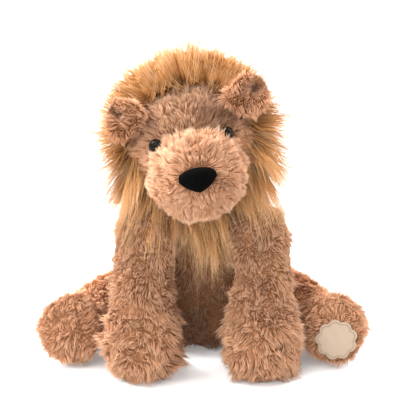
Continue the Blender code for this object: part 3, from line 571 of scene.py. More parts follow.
# Muzzle: a stuffed pad of paler plush sewn on the front of the head, a little fuller above the nose.
# Its pile is combed out from the nose on all sides, is short beside the nose and the left eye, and
# parts below the nose.
MUZZLE_RISE = 0.0038
NOSE_CLEARING, NOSE_STRETCH = 0.0185, (1, 0.6, 1.25)
PARTING_DROP, PARTING_RADIUS, PARTING_STRETCH = 0.0160, 0.0100, (2.2, 0.5, 1)
MUZZLE_PILE_BACK = -0.0200
PALE_TAN = pile_finish("pale_tan_pile", (0.46, 0.222, 0.112), (0.57, 0.294, 0.158), (0.73, 0.455, 0.296))


def above_middle():
    return past(head_local(points_of(skin))[:, 2], MUZZLE_MIDDLE.z, MUZZLE_HALF.z)


skin = ball_skin("muzzle_skin", MUZZLE_MIDDLE, MUZZLE_HALF - inset, HEAD_PLACE, 56, 36)
lumps(skin, 0.022, 0.0014, 5.0)
set_points(skin, points_of(skin) + normals_of(skin) * (MUZZLE_RISE * above_middle())[:, None])
local = head_local(points_of(skin))
comb = combed(head_world(unit(local - np.array(NOSE_MIDDLE))), normals_of(skin), 0.55)
under_nose = near(local, NOSE_MIDDLE, NOSE_CLEARING, NOSE_STRETCH)
parting = near(local, NOSE_MIDDLE - Vector((0, 0, PARTING_DROP)), PARTING_RADIUS, PARTING_STRETCH)
by_eye = near(local, left_eye + Vector((-0.003, -0.008, -0.010)), 0.012)
reach = (1 - 0.45 * near(local, NOSE_MIDDLE, 0.030)) * (1 + 0.42 * above_middle() - 0.30 * by_eye) * (1 - 0.5 * parting)
cover = np.where(under_nose > 0.25, 0.0, 1.0) * np.where(local[:, 1] > MUZZLE_PILE_BACK, 0.15, 1.0)
piece = grow(
    "muzzle_plush", skin, comb, TAN_BACKING, FACE_PILE, reach, cover, Finish=PALE_TAN, Density=1.35e6, Length=0.0102,
    Rise=0.72, Swirl=0.85, Swirl_Size=0.013, Stray=0.25, Tuft_Size=0.0046, Tuft_Pull=0.42, Lump=0.38, Wave=0.0014, Seed=12,
)
dress(piece, "head", "muzzle_cover")


# Fibre filling: loose white polyester wadding inside each cover, drawn a little smaller than the cover.
# It is blown in through a seam, so nothing fixes it but the cover.
FILL_DEPTH = 0.0068


def wadding_finish():
    material, tree, set_shader = new_finish("white_wadding")
    clouds = speckle(tree, 160.0, 6.0, Distortion=1.5)
    tone = blend_colours(tree, clouds, (0.74, 0.73, 0.70), (0.90, 0.89, 0.86))
    set_shader(Base_Color=tone, Roughness=1.0, Normal=bump(tree, clouds, 0.8, 0.002))
    return material


WADDING = wadding_finish()


def stuff(name, skin, body, node):
    """Finishes a piece of filling from its form."""
    lumps(skin, 0.012, 0.0010, 9.0)
    skin.materials.append(WADDING)
    dress(link_object(name, skin), body, node)


deep = Vector((FILL_DEPTH,) * 3)
stuff("head_stuffing", ball_skin("head_stuffing", (0, 0, 0), SKULL_HALF - deep, HEAD_PLACE), "head", "head_filling")
skin = ball_skin("muzzle_stuffing", MUZZLE_MIDDLE, MUZZLE_HALF - deep, HEAD_PLACE)
stuff("muzzle_stuffing", skin, "head", "muzzle_filling")


# Nose: a padded lozenge of black velour with a flat top, 31 mm wide and 20 mm tall.
# Its seam is turned under and sewn to the muzzle, so that the pad stands out with a round edge.
NOSE_HALF_WIDTH = 0.0156
NOSE_TOP, NOSE_FOOT = 0.0086, 0.0112
NOSE_TOP_BENDS, NOSE_FOOT_BENDS = (1.12, 0.72), (1.52, 1.56)
NOSE_SINK, NOSE_CROWN = 0.0005, 0.0071
NOSE_ROWS = (
    (0.90, -0.0075), (1.00, -0.0030), (1.00, 0.0016), (0.95, 0.0034),
    (0.84, 0.0049), (0.66, 0.0060), (0.42, 0.0067), (0.18, 0.0070),
)


def velour_finish():
    material, tree, set_shader = new_finish("black_velour")
    nap, worn = speckle(tree, 2600.0, 3.0), speckle(tree, 220.0, 2.0)
    tone = blend_colours(tree, worn * nap, (0.0010, 0.0010, 0.0010), (0.0050, 0.0048, 0.0046))
    set_shader(Base_Color=tone, Roughness=0.95, Normal=bump(tree, nap, 0.5, 0.0003), Specular_IOR_Level=0.02)
    return material


def wall_faces(rows, around):
    """Quads between neighbouring rings of a wall."""
    faces = []
    for row in range(rows - 1):
        for step in range(around):
            after = (step + 1) % around
            low, high = row * around, (row + 1) * around
            faces.append((low + step, low + after, high + after, high + step))
    return faces


def nose_point(size, out, turn):
    """A point of one row of the lozenge, which follows the muzzle's curve."""
    across, rise = math.cos(turn), math.sin(turn)
    height, (wide_bend, tall_bend) = (NOSE_TOP, NOSE_TOP_BENDS) if rise > 0 else (NOSE_FOOT, NOSE_FOOT_BENDS)
    x = size * NOSE_HALF_WIDTH * math.copysign(abs(across) ** wide_bend, across)
    z = size * height * math.copysign(abs(rise) ** tall_bend, rise)
    curve = MUZZLE_HALF.y * (1 - math.sqrt(max(0.0, 1 - (x / MUZZLE_HALF.x) ** 2 - (z / MUZZLE_HALF.z) ** 2)))
    return (x, NOSE_SINK - out + curve, z)


def nose_mesh():
    """Rings of the lozenge from its seam on the muzzle to the crown of the pad."""
    around = 64
    points = [nose_point(size, out, math.tau * step / around) for size, out in NOSE_ROWS for step in range(around)]
    faces = [(b, a, d, c) for a, b, c, d in wall_faces(len(NOSE_ROWS), around)]
    last = len(points) - around
    faces += [(last + (step + 1) % around, last + step, len(points)) for step in range(around)]
    faces.append(tuple(range(around)))
    points.append((0, NOSE_SINK - NOSE_CROWN, 0))
    mesh = new_mesh("nose_pad", [HEAD_PLACE @ (NOSE_MIDDLE + Vector(p)) for p in points], faces)
    mesh.shade_smooth()
    mesh.materials.append(velour_finish())
    return mesh


dress(link_object("nose_pad", nose_mesh()), "head", "nose")


# Eyes: black domed buttons, 13.6 mm across. The shank of each passes through the cover, and a white
# nylon washer pressed on it from behind holds the button to the cloth.
EYE_RADIUS, EYE_DOME, EYE_RIM = 0.0068, 0.0050, 0.0012
SHANK_ROWS = [(0.0016, -0.0118), (0.0018, -0.0114), (0.0018, 0.0002), (EYE_RADIUS - 0.0006, 0.0004), (EYE_RADIUS, 0.0011)]
DOME_STEPS = 13
WASHER_ROWS = [
    (0.0021, -0.0092), (0.0034, -0.0092), (0.0036, -0.0076), (0.0062, -0.0074),
    (0.0065, -0.0070), (0.0062, -0.0066), (0.0021, -0.0064),
]


def button_finish():
    material, tree, set_shader = new_finish("black_button")
    swirl = speckle(tree, 300.0, 2.0)
    tone = blend_colours(tree, swirl, (0.004, 0.003, 0.002), (0.010, 0.007, 0.005))
    haze = add_node(tree, "ShaderNodeMapRange", {}, {"Value": swirl, "To Min": 0.05, "To Max": 0.12})
    set_shader(Base_Color=tone, Roughness=haze, Specular_IOR_Level=0.07)
    return material


def ring_mesh(name, rings):
    """A closed mesh through rings of points, with a flat face at each end."""
    around = len(rings[0])
    points = [p for ring in rings for p in ring]
    ends = [tuple(reversed(range(around))), tuple(range(len(points) - around, len(points)))]
    return new_mesh(name, points, wall_faces(len(rings), around) + ends)


def turned(name, middle, axis, rows, around):
    """A closed turned piece from rows of radius and distance along its axis."""
    side = axis.orthogonal().normalized()
    up = axis.cross(side)
    turns = [math.tau * step / around for step in range(around)]
    return ring_mesh(name, [
        [middle + axis * distance + (side * math.cos(t) + up * math.sin(t)) * radius for t in turns]
        for radius, distance in rows
    ])


BUTTON = button_finish()
WASHER = cloth_finish("white_nylon", (0.75, 0.75, 0.72), 120.0)
quarter = [math.pi / 2 * step / DOME_STEPS for step in range(1, DOME_STEPS)]
dome_rows = [(EYE_RADIUS * math.cos(t), EYE_RIM + EYE_DOME * math.sin(t)) for t in quarter] + [(0.0002, EYE_RIM + EYE_DOME)]
for side, sign in (("left", 1), ("right", -1)):
    seat, looks = skull_place(sign * EYE_SIDE, EYE_LIFT)
    seat, looks = HEAD_PLACE @ seat, (HEAD_TURN @ looks).normalized()
    button = turned(f"eye_button_{side}", seat, looks, SHANK_ROWS + dome_rows, 48)
    button.shade_smooth()
    button.materials.append(BUTTON)
    dress(link_object(f"eye_button_{side}", button), "head", f"eye_{side}")
    washer = turned(f"eye_grip_{side}", seat, looks, WASHER_ROWS, 32)
    washer.materials.append(WASHER)
    dress(link_object(f"eye_grip_{side}", washer), "head", f"eye_washer_{side}")


# Mane: long silky pile on a hood of cloth round the back of the head, dark at the roots and pale at the tips.
# A ring stands out round the face with a few long wisps, a collar lies over the shoulders, and the back
# falls to a hem at the nape. All are sewn to the head's cover.
MANE_FRONT, RING_BACK = -0.0095, 0.0020
COLLAR_BACK, COLLAR_TOP = 0.0140, -0.0080
MANE_MIDDLE, MANE_HALF = Vector((0, 0.0140, 0.0140)), Vector((0.0775, 0.0640, 0.0640))
MANE_BACK_FRONT, MANE_HEM, UNDER_PILE = -0.0010, -0.0320, 0.0080
SEAM_RIM, HEM_RIM = 0.0008, 0.0130
CROWN_BEND, CROWN_TOP = 0.2730, 0.2973
CROWN_LIFT = 0.0400
LOCK_SIZE = 0.0110
FAR = 0.1
GOLD = pile_finish("golden_pile", (0.14, 0.044, 0.010), (0.74, 0.335, 0.104), (0.97, 0.67, 0.385), 0.55, 0.32, 0.04)
PALE_GOLD = pile_finish("pale_golden_pile", (0.25, 0.094, 0.024), (0.64, 0.302, 0.100), (0.88, 0.60, 0.345), 0.55, 0.45, 0.05)
BROWN_BACKING = cloth_finish("brown_backing", (0.16, 0.058, 0.018))
GOLDEN_BACKING = cloth_finish("golden_backing", (0.36, 0.150, 0.046))
MANE_PILE = dict(
    Finish=GOLD, Uneven=0.55, Thickness=0.00038, Joints=5, Swirl=0.24, Swirl_Size=0.024, Stray=0.38,
    Tuft_Size=0.0080, Tuft_Pull=0.55, Lump=0.45, Wave=0.0018, Droop=0.0, Taper=1.4,
)


def remade(mesh, add_steps):
    """The mesh after the modifiers that add_steps puts on it."""
    holder = link_object("holder", mesh)
    add_steps(holder)
    made = evaluated_mesh(holder)
    made.name = mesh.name + "_made"
    bpy.data.objects.remove(holder)
    return made


def cut_away(mesh, cutters):
    """The mesh with each closed cutter mesh taken away."""
    tools = [link_object("cutter", cutter) for cutter in cutters]

    def add_cuts(holder):
        for tool in tools:
            step = holder.modifiers.new("cut", "BOOLEAN")
            step.operation = "DIFFERENCE"
            step.solver = "EXACT"
            step.object = tool

    made = remade(mesh, add_cuts)
    for tool in tools:
        bpy.data.objects.remove(tool)
    made.shade_smooth()
    return made


def block(low, high):
    (x0, y0, z0), (x1, y1, z1) = low, high
    points = [(x, y, z) for x in (x0, x1) for y in (y0, y1) for z in (z0, z1)]
    return new_mesh("block", points, [(0, 1, 3, 2), (4, 6, 7, 5), (0, 4, 5, 1), (2, 3, 7, 6), (0, 2, 6, 4), (1, 5, 7, 3)])


def slab(axis, low, high):
    """A block round the whole head between two levels of one axis."""
    corners = [[-FAR] * 3, [FAR] * 3]
    corners[0][axis], corners[1][axis] = low, high
    return block(*corners)


def hood_part(name, middle, half, rims, *cutters):
    """An egg with slabs cut away, and rims round each flat cut, put on the head."""
    part = cut_away(ball_skin(name, middle, half, Matrix(), 64, 44), cutters)
    shape = bmesh.new()
    shape.from_mesh(part)
    cuts = [face for face in shape.faces if len(face.verts) > 8]
    for width in rims:
        bmesh.ops.inset_individual(shape, faces=cuts, thickness=width)
    shape.to_mesh(part)
    shape.free()
    part.transform(HEAD_PLACE)
    return part


def skull_wide(extra):
    return SKULL_HALF + Vector((extra,) * 3)


def on_skull(local):
    """1 on the outside of the skull, and 0 on the flat cuts of a hood."""
    return np.where(((local / np.array(SKULL_HALF)) ** 2).sum(axis=1) < 0.985, 0.0, 1.0)


def mane_flow(local):
    """How the mane lies: up and back over the crown, out and down at the sides, down at the back."""
    out = unit(local * np.array((1, 0, 1)))
    high = past(local[:, 2], -0.010, 0.046)[:, None]
    behind = past(local[:, 1], -0.002, 0.040)[:, None]
    low = below(local[:, 2], 0.004, 0.044)[:, None]
    back, down = np.array((0, 1.0, 0)), np.array((0, 0, -1.0))
    up_way = out * 0.35 * (1 - behind) + back * (0.35 + 0.30 * behind) + down * 0.25 * behind
    side_way = out * (0.52 - 0.27 * low) * (1 - behind) + back * 0.12 + down * (0.34 + 0.50 * low)
    return head_world(up_way * high + side_way * (1 - high))


def bend_crown(piece):
    """Lays the highest tips over, so that no strand stands above the top of the mane."""
    points = points_of(piece.data)
    over, room = np.maximum(points[:, 2] - CROWN_BEND, 0), CROWN_TOP - CROWN_BEND
    points[:, 2] += room * np.tanh(over / room) - over
    set_points(piece.data, points)


skin = hood_part("mane_front", (0, 0, 0), skull_wide(0.0004), (SEAM_RIM,), slab(1, -FAR, MANE_FRONT), slab(1, RING_BACK, FAR))
wisp_skin = skin.copy()
local = head_local(points_of(skin))
across, back, up = local.T
locks = np.array([noise.noise(Vector(p) / LOCK_SIZE) for p in local])
peak = np.clip(1 - np.abs(across + 0.004) / 0.034, 0, 1) * (up > 0)
crown, droop = past(up, 0, CROWN_LIFT), below(up, 0, CROWN_LIFT)
reach = (1.04 - 0.08 * np.abs(up) / SKULL_HALF.z + 0.22 * peak + 0.20 * droop) * (0.94 + 0.55 * locks)
# Painted shade darkens the mane's pile beside the face, where the head shades its roots, and painted light lifts the
# crown a little.
shade = (0.66 - 0.28 * crown) * below(back, -0.0020, 0.0075) - 0.10 * crown
comb, cover = mane_flow(local), on_skull(local)
piece = grow(
    "mane_front", skin, comb, BROWN_BACKING, MANE_PILE, reach, cover, shade, Length=0.050, Rise=0.80, Density=1.08e6, Seed=21,
)
bend_crown(piece)
dress(piece, "head", "mane")
beside = past(np.abs(across) / SKULL_HALF.x, 0.55, 0.45)
longer = 1.08 + 0.22 * crown + 0.22 * beside
piece = grow(
    "mane_wisps", wisp_skin, comb, BROWN_BACKING, MANE_PILE, reach * longer, cover, Finish=PALE_GOLD, Length=0.064,
    Uneven=0.45, Stray=0.80, Lump=0.35, Thickness=0.00048, Tuft_Size=0.0100, Tuft_Pull=0.85, Rise=0.85, Density=1.9e5, Seed=25,
)
bend_crown(piece)
dress(piece, "head", "mane")

skin = hood_part(
    "mane_collar", (0, 0, 0), skull_wide(0.0002), (SEAM_RIM,),
    slab(1, -FAR, MANE_FRONT), slab(1, COLLAR_BACK, FAR), slab(2, COLLAR_TOP, FAR),
)
local = head_local(points_of(skin))
side_share = local[:, 0] / SKULL_HALF.x
comb = np.stack((side_share * 0.40, -0.22 - 0.45 * np.abs(side_share), np.full(len(local), -0.55)), axis=1)
piece = grow(
    "mane_collar", skin, comb, BROWN_BACKING, MANE_PILE, 1.0, on_skull(local), Finish=PALE_GOLD, Length=0.072,
    Uneven=0.60, Stray=0.40, Joints=6, Droop=0.70, Tuft_Size=0.0110, Rise=0.25, Density=1.38e6, Seed=24,
)
dress(piece, "head", "mane")

skin = hood_part(
    "mane_back", MANE_MIDDLE, MANE_HALF - Vector((UNDER_PILE,) * 3), (HEM_RIM, SEAM_RIM),
    slab(1, -FAR, MANE_BACK_FRONT), slab(2, -FAR, MANE_HEM),
)
local = head_local(points_of(skin))
cover = np.ones(len(local))
for face in skin.polygons:
    if len(face.vertices) > 8:
        cover[list(face.vertices)] = 0.0
hem = below(local[:, 2], 0.016, 0.034)
piece = grow(
    "mane_back", skin, mane_flow(local) * (1 + 0.25 * hem)[:, None], GOLDEN_BACKING, MANE_PILE, 1 + 0.85 * hem, cover,
    Finish=PALE_GOLD, Length=0.034, Thickness=0.00055, Rise=0.50, Density=2.35e5, Seed=22,
)
dress(piece, "head", "mane")


# Ears: two leaves of tan plush sewn edge to edge and folded along the middle, so that two soft lobes
# stand forward and leave a hollow that opens outward. The hollow is darkened with painted shade and
# the lobes are lightened with painted light. The lion's right ear is folded tighter.
EAR_HALF = Vector((0.0195, 0.0048, 0.0225))
EAR_SIDE, EAR_LIFT, EAR_LEAN = 0.0375, 0.0255, math.radians(36)
EAR_ROOT_RISE, EAR_ROOT_SINK = 0.0031, 0.0010
EAR_NARROWER = {"left": 0.0025, "right": 0.0048}
EAR_LOWER = 0.0045
EAR_FOLDS = {"left": 0.0062, "right": 0.0078}
EAR_PILE = dict(
    Uneven=0.35, Thickness=0.00048, Joints=3, Rise=0.66, Swirl=0.85, Swirl_Size=0.012, Stray=0.24,
    Tuft_Size=0.0046, Tuft_Pull=0.42, Lump=0.35, Wave=0.0014, Droop=0.1, Taper=3.0,
)


def make_outward(mesh):
    shape = bmesh.new()
    shape.from_mesh(mesh)
    bmesh.ops.recalc_face_normals(shape, faces=shape.faces)
    shape.to_mesh(mesh)
    shape.free()


def ear_frame(sign):
    """The ear's root on the head: its first axis points out along the ear, its second back."""
    seat, looks = skull_place(sign * EAR_SIDE, EAR_LIFT)
    outward = Vector((sign * math.cos(EAR_LEAN), 0, math.sin(EAR_LEAN)))
    back = Vector((0, 1, 0))
    turn = Matrix((outward, back, outward.cross(back))).transposed().to_4x4()
    return HEAD_PLACE @ Matrix.Translation(seat + looks * EAR_ROOT_RISE) @ turn


def folded_leaf(name, sign, half, fold, near_side, far_side):
    """A leaf between two depths of its thickness, folded forward at both sides of its middle line."""
    mesh = ball_skin(name, (0, 0, 0), (1, 1, 1), Matrix(), 44, 28)
    shares = points_of(mesh)
    out, depth, side = shares.T
    share = np.where(depth < 0, near_side, far_side) * np.abs(depth)
    fold_depth = fold * (1 - 2.3 * side**2) * np.clip(0.75 + 0.35 * out, 0, 1)
    across = half.z * side * (1 - 0.12 * side**2)
    leaf = np.stack((half.x * (out + 1) - EAR_ROOT_SINK, fold_depth + half.y * share, across), axis=1)
    place = ear_frame(sign)
    set_points(mesh, leaf @ np.array(place.to_3x3()).T + np.array(place.translation))
    make_outward(mesh)
    return mesh, shares


def hollow_part(shares, half_width, start):
    """True on the front of a leaf near its middle line, from a start out to the tip."""
    return (shares[:, 1] < 0) & (np.abs(shares[:, 2]) < half_width) & (shares[:, 0] > start)


for side, sign in (("left", 1), ("right", -1)):
    half = EAR_HALF - Vector((EAR_NARROWER[side], 0, EAR_LOWER))
    turn = np.array(ear_frame(sign).to_3x3())
    forward = np.array((0.0, -1.0, 0.0)) @ turn.T
    skin, shares = folded_leaf(f"ear_back_plush_{side}", sign, half, EAR_FOLDS[side], -1.0, 1.0)
    spread = (shares * np.array((1, 0, 1))) @ turn.T
    comb = along_surface(spread * 0.35 + forward * 0.45, normals_of(skin))
    cover = np.where(hollow_part(shares, 0.26, -0.30), 0.0, 1.0)
    # Painted light: the back leaf's pile, which makes the lobes, is lighter.
    piece = grow(
        f"ear_back_plush_{side}", skin, comb, TAN_BACKING, EAR_PILE, 1.0, cover, -0.24,
        Finish=TAN, Length=0.0112, Density=9e5, Seed=31,
    )
    dress(piece, f"ear_{side}", f"ear_back_{side}")
    skin, shares = folded_leaf(f"ear_front_plush_{side}", sign, half * 0.97, EAR_FOLDS[side], -1.05, -0.8)
    comb = along_surface(turn[:, 0], normals_of(skin)) * 0.6
    cover = np.where(hollow_part(shares, 0.34, -0.40), 1.0, 0.0)
    # Painted shade: the front's pile is darker and shorter along the crease into the hollow, and painted light makes it
    # lighter elsewhere; its dark brown backing and the darker copy of the tan pile also paint the hollow's shade.
    crease = np.exp(-(shares[:, 2] / 0.19) ** 2) * past(shares[:, 0], -0.02, 0.30)
    piece = grow(
        f"ear_front_plush_{side}", skin, comb, BROWN_BACKING, EAR_PILE, 1 - 0.55 * crease, cover, 1.30 * crease - 0.45,
        Finish=SHADED_TAN, Length=0.0095, Density=1.3e6, Seed=32,
    )
    dress(piece, f"ear_{side}", f"ear_front_{side}")


# Torso: a stuffed pear of tan plush on a flat seat. Its cover has a pocket at each side where a front
# leg is sewn on, and it is flat at each hip, where a hind leg is.
TORSO_HALF_WIDTH, TORSO_HALF_DEPTH, TORSO_LEAN = 0.0760, 0.0650, 0.0570
NECK_MIDDLE = Vector((0, -0.0510, 0.1360))
NECK_BALL = 0.0300
TORSO_SHARES = (
    (0.000, 0.000, 0.66, 0.65), (0.030, 0.000, 0.79, 0.785), (0.105, 0.000, 0.91, 0.91), (0.250, 0.035, 1.00, 1.00),
    (0.440, 0.120, 0.975, 0.955), (0.625, 0.260, 0.855, 0.86), (0.795, 0.440, 0.70, 0.755), (0.925, 0.630, 0.565, 0.645),
    (1.020, 0.825, 0.447, 0.523),
)
NECK_TURNS = (70, 53, 32, 14)
SHOULDER = Vector((0.0240, -0.0770, 0.1220))
SHOULDER_ROUND = 0.0285
HIP_PLANE = 0.0700
BARE_SEAT, BARE_NECK = 0.0045, 0.1500
ACROSS, BACKWARD, UP = Vector((1, 0, 0)), Vector((0, 1, 0)), Vector((0, 0, 1))
LIMB_PILE = dict(
    Finish=TAN, Uneven=0.35, Thickness=0.00060, Joints=3, Rise=0.70, Swirl=1.00, Swirl_Size=0.014, Stray=0.30,
    Tuft_Size=0.0050, Tuft_Pull=0.42, Lump=0.42, Wave=0.0018, Droop=0.08, Taper=3.0,
)


def ring_points(middle, side, up, half_side, half_up, count):
    turns = [math.tau * step / count for step in range(count)]
    return [middle + side * (half_side * math.cos(t)) + up * (half_up * math.sin(t)) for t in turns]


def level_ring(middle, half_width, half_depth, count):
    return ring_points(middle, ACROSS, BACKWARD, half_width, half_depth, count)


def round_over(levels):
    def add_round(holder):
        step = holder.modifiers.new("round", "SUBSURF")
        step.levels = levels
        step.render_levels = levels

    return add_round


def loft_skin(name, rings, floor=None, levels=2):
    """A closed skin through rings of points, rounded by subdivision and pressed flat on the floor."""
    mesh = remade(ring_mesh(name, rings), round_over(levels))
    make_outward(mesh)
    if floor is not None:
        points = points_of(mesh)
        points[:, 2] = np.maximum(points[:, 2], floor)
        set_points(mesh, points)
    mesh.shade_smooth()
    return mesh


def side_block(sign, near_plane, far_plane, low, high):
    """A block at one side of the toy, between two planes across and from low to high."""
    ends = (sign * near_plane, sign * far_plane)
    return block((min(ends), *low), (max(ends), *high))


def torso_skin(name, inset):
    rings = []
    for rise, lean, wide, depth in TORSO_SHARES:
        middle = Vector((0, -lean * TORSO_LEAN, max(rise * NECK_MIDDLE.z, inset * 0.5)))
        rings.append(level_ring(middle, wide * TORSO_HALF_WIDTH - inset, depth * TORSO_HALF_DEPTH - inset, 24))
    reach = NECK_BALL - inset
    for turn in NECK_TURNS:
        middle = NECK_MIDDLE + UP * (reach * math.cos(math.radians(turn)))
        wide = reach * math.sin(math.radians(turn))
        rings.append(level_ring(middle, wide, wide, 24))
    skin = loft_skin(name, rings, inset * 0.4)
    lumps(skin, 0.035, 0.0018, 7.0)
    cutters = []
    for sign in (1, -1):
        start = Vector((sign * (SHOULDER.x - inset * 0.6), SHOULDER.y, SHOULDER.z))
        radius = SHOULDER_ROUND + 0.0006 + inset * 0.3
        cutters.append(turned("pocket", start, Vector((sign, 0, 0)), [(radius, 0), (radius, 0.12)], 48))
        cutters.append(side_block(sign, HIP_PLANE - inset * 0.3, 0.2, (-0.12, -0.05), (0.12, 0.13)))
    return cut_away(skin, cutters)


skin = torso_skin("torso_plush", PILE_DEPTH)
across, back, up = points_of(skin).T
in_pocket = (np.abs(across) > 0.0205) & (np.hypot(back - SHOULDER.y, up - SHOULDER.z) < SHOULDER_ROUND + 0.004)
hidden = in_pocket | (np.abs(across) > HIP_PLANE - 0.003) | (up < BARE_SEAT) | (up > BARE_NECK)
cover = np.where(hidden, 0.0, np.where(back > 0.0, 0.75, 1.0))
# Painted shade: the pile is darker low on the belly between the front legs, where they block the light.
painted_belly_shade = np.clip(1.25 - np.abs(across) / 0.040, 0, 1) * below(back, 0, 0.03) * below(up, 0.100, 0.06)
comb = combed((0, 0, -1), normals_of(skin), 0.45)
piece = grow(
    "torso_plush", skin, comb, TAN_BACKING, LIMB_PILE, 1.0, cover, 0.62 * painted_belly_shade, Length=0.0118, Density=4.15e5, Seed=41,
)
dress(piece, "torso", "torso_cover")
stuff("torso_stuffing", torso_skin("torso_stuffing", FILL_DEPTH + 0.001), "torso", "torso_filling")


# Pellet bag: a small bag of woven cotton, full of plastic pellets, that keeps the toy upright.
# It lies loose in the seat under the filling, flat on the bottom of the cover.
BAG_MIDDLE, BAG_HALF, BAG_FLOOR = (0, 0, 0.0185), Vector((0.0435, 0.0355, 0.0137)), 0.0065


def woven_finish():
    material, tree, set_shader = new_finish("woven_cotton")
    threads = {"Vector": object_place(tree), "Scale": 420.0, "Distortion": 0.6}
    warp, weft = [add_node(tree, "ShaderNodeTexWave", {"bands_direction": way}, threads) for way in ("X", "Y")]
    weave = warp * weft
    tone = blend_colours(tree, weave, (0.52, 0.48, 0.38), (0.74, 0.70, 0.60))
    set_shader(Base_Color=tone, Roughness=0.9, Normal=bump(tree, weave, 0.6, 0.0004))
    return material


skin = ball_skin("pellet_bag_cloth", BAG_MIDDLE, BAG_HALF, Matrix(), 56, 30)
points = points_of(skin)
points[:, 2] = np.maximum(points[:, 2], BAG_FLOOR)
set_points(skin, points)
lumps(skin, 0.0060, 0.0007, 13.0)
skin.materials.append(woven_finish())
dress(link_object("pellet_bag_cloth", skin), "torso", "pellet_bag")


# Closing seam: ladder stitches of brown thread that close the back of the torso over the filling.
# They are sewn by hand after the toy is filled, and the solid keeps its own shape here.
def thread_finish(name, scale, dark, pale, raised):
    """Twisted sewing thread, with its twist raised or flat."""
    material, tree, set_shader = new_finish(name)
    twist = {"Vector": object_place(tree), "Scale": scale}
    twist = add_node(tree, "ShaderNodeTexWave", {"bands_direction": "DIAGONAL"}, twist)
    set_shader(Base_Color=blend_colours(tree, twist, dark, pale), Roughness=0.6)
    if raised:
        set_shader(Normal=bump(tree, twist, 0.5, 0.0002))
    return material


seam = frame["nodes"]["closing_thread"].data
seam.materials.clear()
seam.materials.append(thread_finish("brown_thread", 700.0, (0.10, 0.045, 0.02), (0.26, 0.13, 0.07), True))


# Chest bib: long golden pile like the mane's, on a pad of cloth sewn to the chest under the chin.
# It hangs in a point between the front legs, a little to the lion's left.
BIB_MIDDLE, BIB_HALF = (0.004, -0.0720, 0.1330), Vector((0.0220, 0.0150, 0.0140))
BIB_TIP_SIDE, BIB_BACK = 0.0120, -0.0680
skin = ball_skin("bib_pile", BIB_MIDDLE, BIB_HALF)
across, back, up = points_of(skin).T
comb = np.stack((across * 9, np.full(len(across), -0.12), np.full(len(across), -0.95)), axis=1)
tip_side = np.clip(1 - np.abs(across - BIB_TIP_SIDE) / 0.020, 0.10, 1)
piece = grow(
    "bib_pile", skin, comb, BROWN_BACKING, MANE_PILE, 0.30 + 0.90 * tip_side, np.where(back < BIB_BACK, 1.0, 0.0),
    Finish=PALE_GOLD, Length=0.047, Rise=0.35, Swirl=0.22, Droop=0.4, Density=1.12e6, Uneven=0.65, Seed=23,
)
dress(piece, "torso", "chest_bib")


# Neck: a short round neck of plush over a core of filling, on which the head rests under the mane.
# Both are caps round one point, so that they slide on each other as the head turns, tilts and nods.
NECK_WALLS = {"neck_plush": (0.0006, 0.0026), "neck_stuffing": (0.0040, 0.0062)}
NECK_RUFF_TOP, CORE_RIM_TOP = 0.0200, 0.0285


def cap_skin(name):
    inner, outer = [NECK_BALL + rise for rise in NECK_WALLS[name]]
    turns = list(range(6, 61, 6))
    rings = []
    for radius, turn in [(outer, turn) for turn in turns] + [(inner, turn) for turn in reversed(turns)]:
        wide = radius * math.sin(math.radians(turn))
        rings.append(level_ring(NECK_MIDDLE + UP * (radius * math.cos(math.radians(turn))), wide, wide, 40))
    return loft_skin(name, rings, levels=0)


skin = cap_skin("neck_plush")
from_middle = points_of(skin) - np.array(NECK_MIDDLE)
outside = np.linalg.norm(from_middle, axis=1) > NECK_BALL + 0.002
cover = np.where(outside & (from_middle[:, 2] < NECK_RUFF_TOP), 1.0, 0.0)
comb = np.where((from_middle[:, 1] < 0)[:, None], (0.0, 0.0, -0.9), (0.0, 0.15, 0.75))
NECK_PILE = dict(LIMB_PILE, Rise=0.8, Lump=0.2)
piece = grow("neck_plush", skin, comb, TAN_BACKING, NECK_PILE, 1.0, cover, Length=0.0190, Density=9e5, Seed=42)
dress(piece, "neck", "neck_cover")
skin = cap_skin("neck_stuffing")
from_middle = points_of(skin) - np.array(NECK_MIDDLE)
outside = np.linalg.norm(from_middle, axis=1) > NECK_BALL + 0.0050
cover = np.where(outside & (from_middle[:, 2] < CORE_RIM_TOP), 1.0, 0.0)
piece = grow("neck_stuffing", skin, (0, 0, -0.9), WADDING, NECK_PILE, 1.0, cover, Length=0.0110, Density=5.6e5, Seed=43)
dress(piece, "neck_core", "neck_filling")


# Front legs: upright pillars of tan plush, stuffed, that swell into round paws and stand on the floor.
# Each is sewn into its pocket at the shoulder, with its pile combed down and out over the paw.
PAW_SIDE, PAW_FORWARD, PAW_HALF_WIDTH, PAW_HALF_DEPTH = 0.0515, 0.0280, 0.0362, 0.0345
PAW_TOP, PAW_FLUFF_TOP, PAW_FLUFF_FADE = 0.0520, 0.0620, 0.0300
BARE_FLOOR = 0.0022
FRONT_LEG_SHARES = (
    (0.000, 1.00, 1.000, 0.50, 0.50), (0.040, 1.00, 1.000, 0.80, 0.80), (0.115, 1.00, 1.000, 0.97, 0.965),
    (0.240, 1.00, 0.990, 1.00, 1.00), (0.360, 1.00, 0.930, 0.975, 0.957), (0.460, 0.99, 0.840, 0.885, 0.855),
    (0.557, 0.986, 0.770, 0.825, 0.782), (0.672, 0.99, 0.700, 0.787, 0.724), (0.754, 1.00, 0.607, 0.760, 0.652),
    (0.836, 0.99, 0.293, 0.774, 0.804), (1.000, 0.913, 0.000, 0.857, 0.820),
)
SHOULDER_SHARES = ((0.50, 0.866, 0.75), (0.82, 0.572, 0.50), (0.96, 0.25, 0.22))
LEAST_HALF = 0.004
LEG_CUT_FOOT = 0.0880


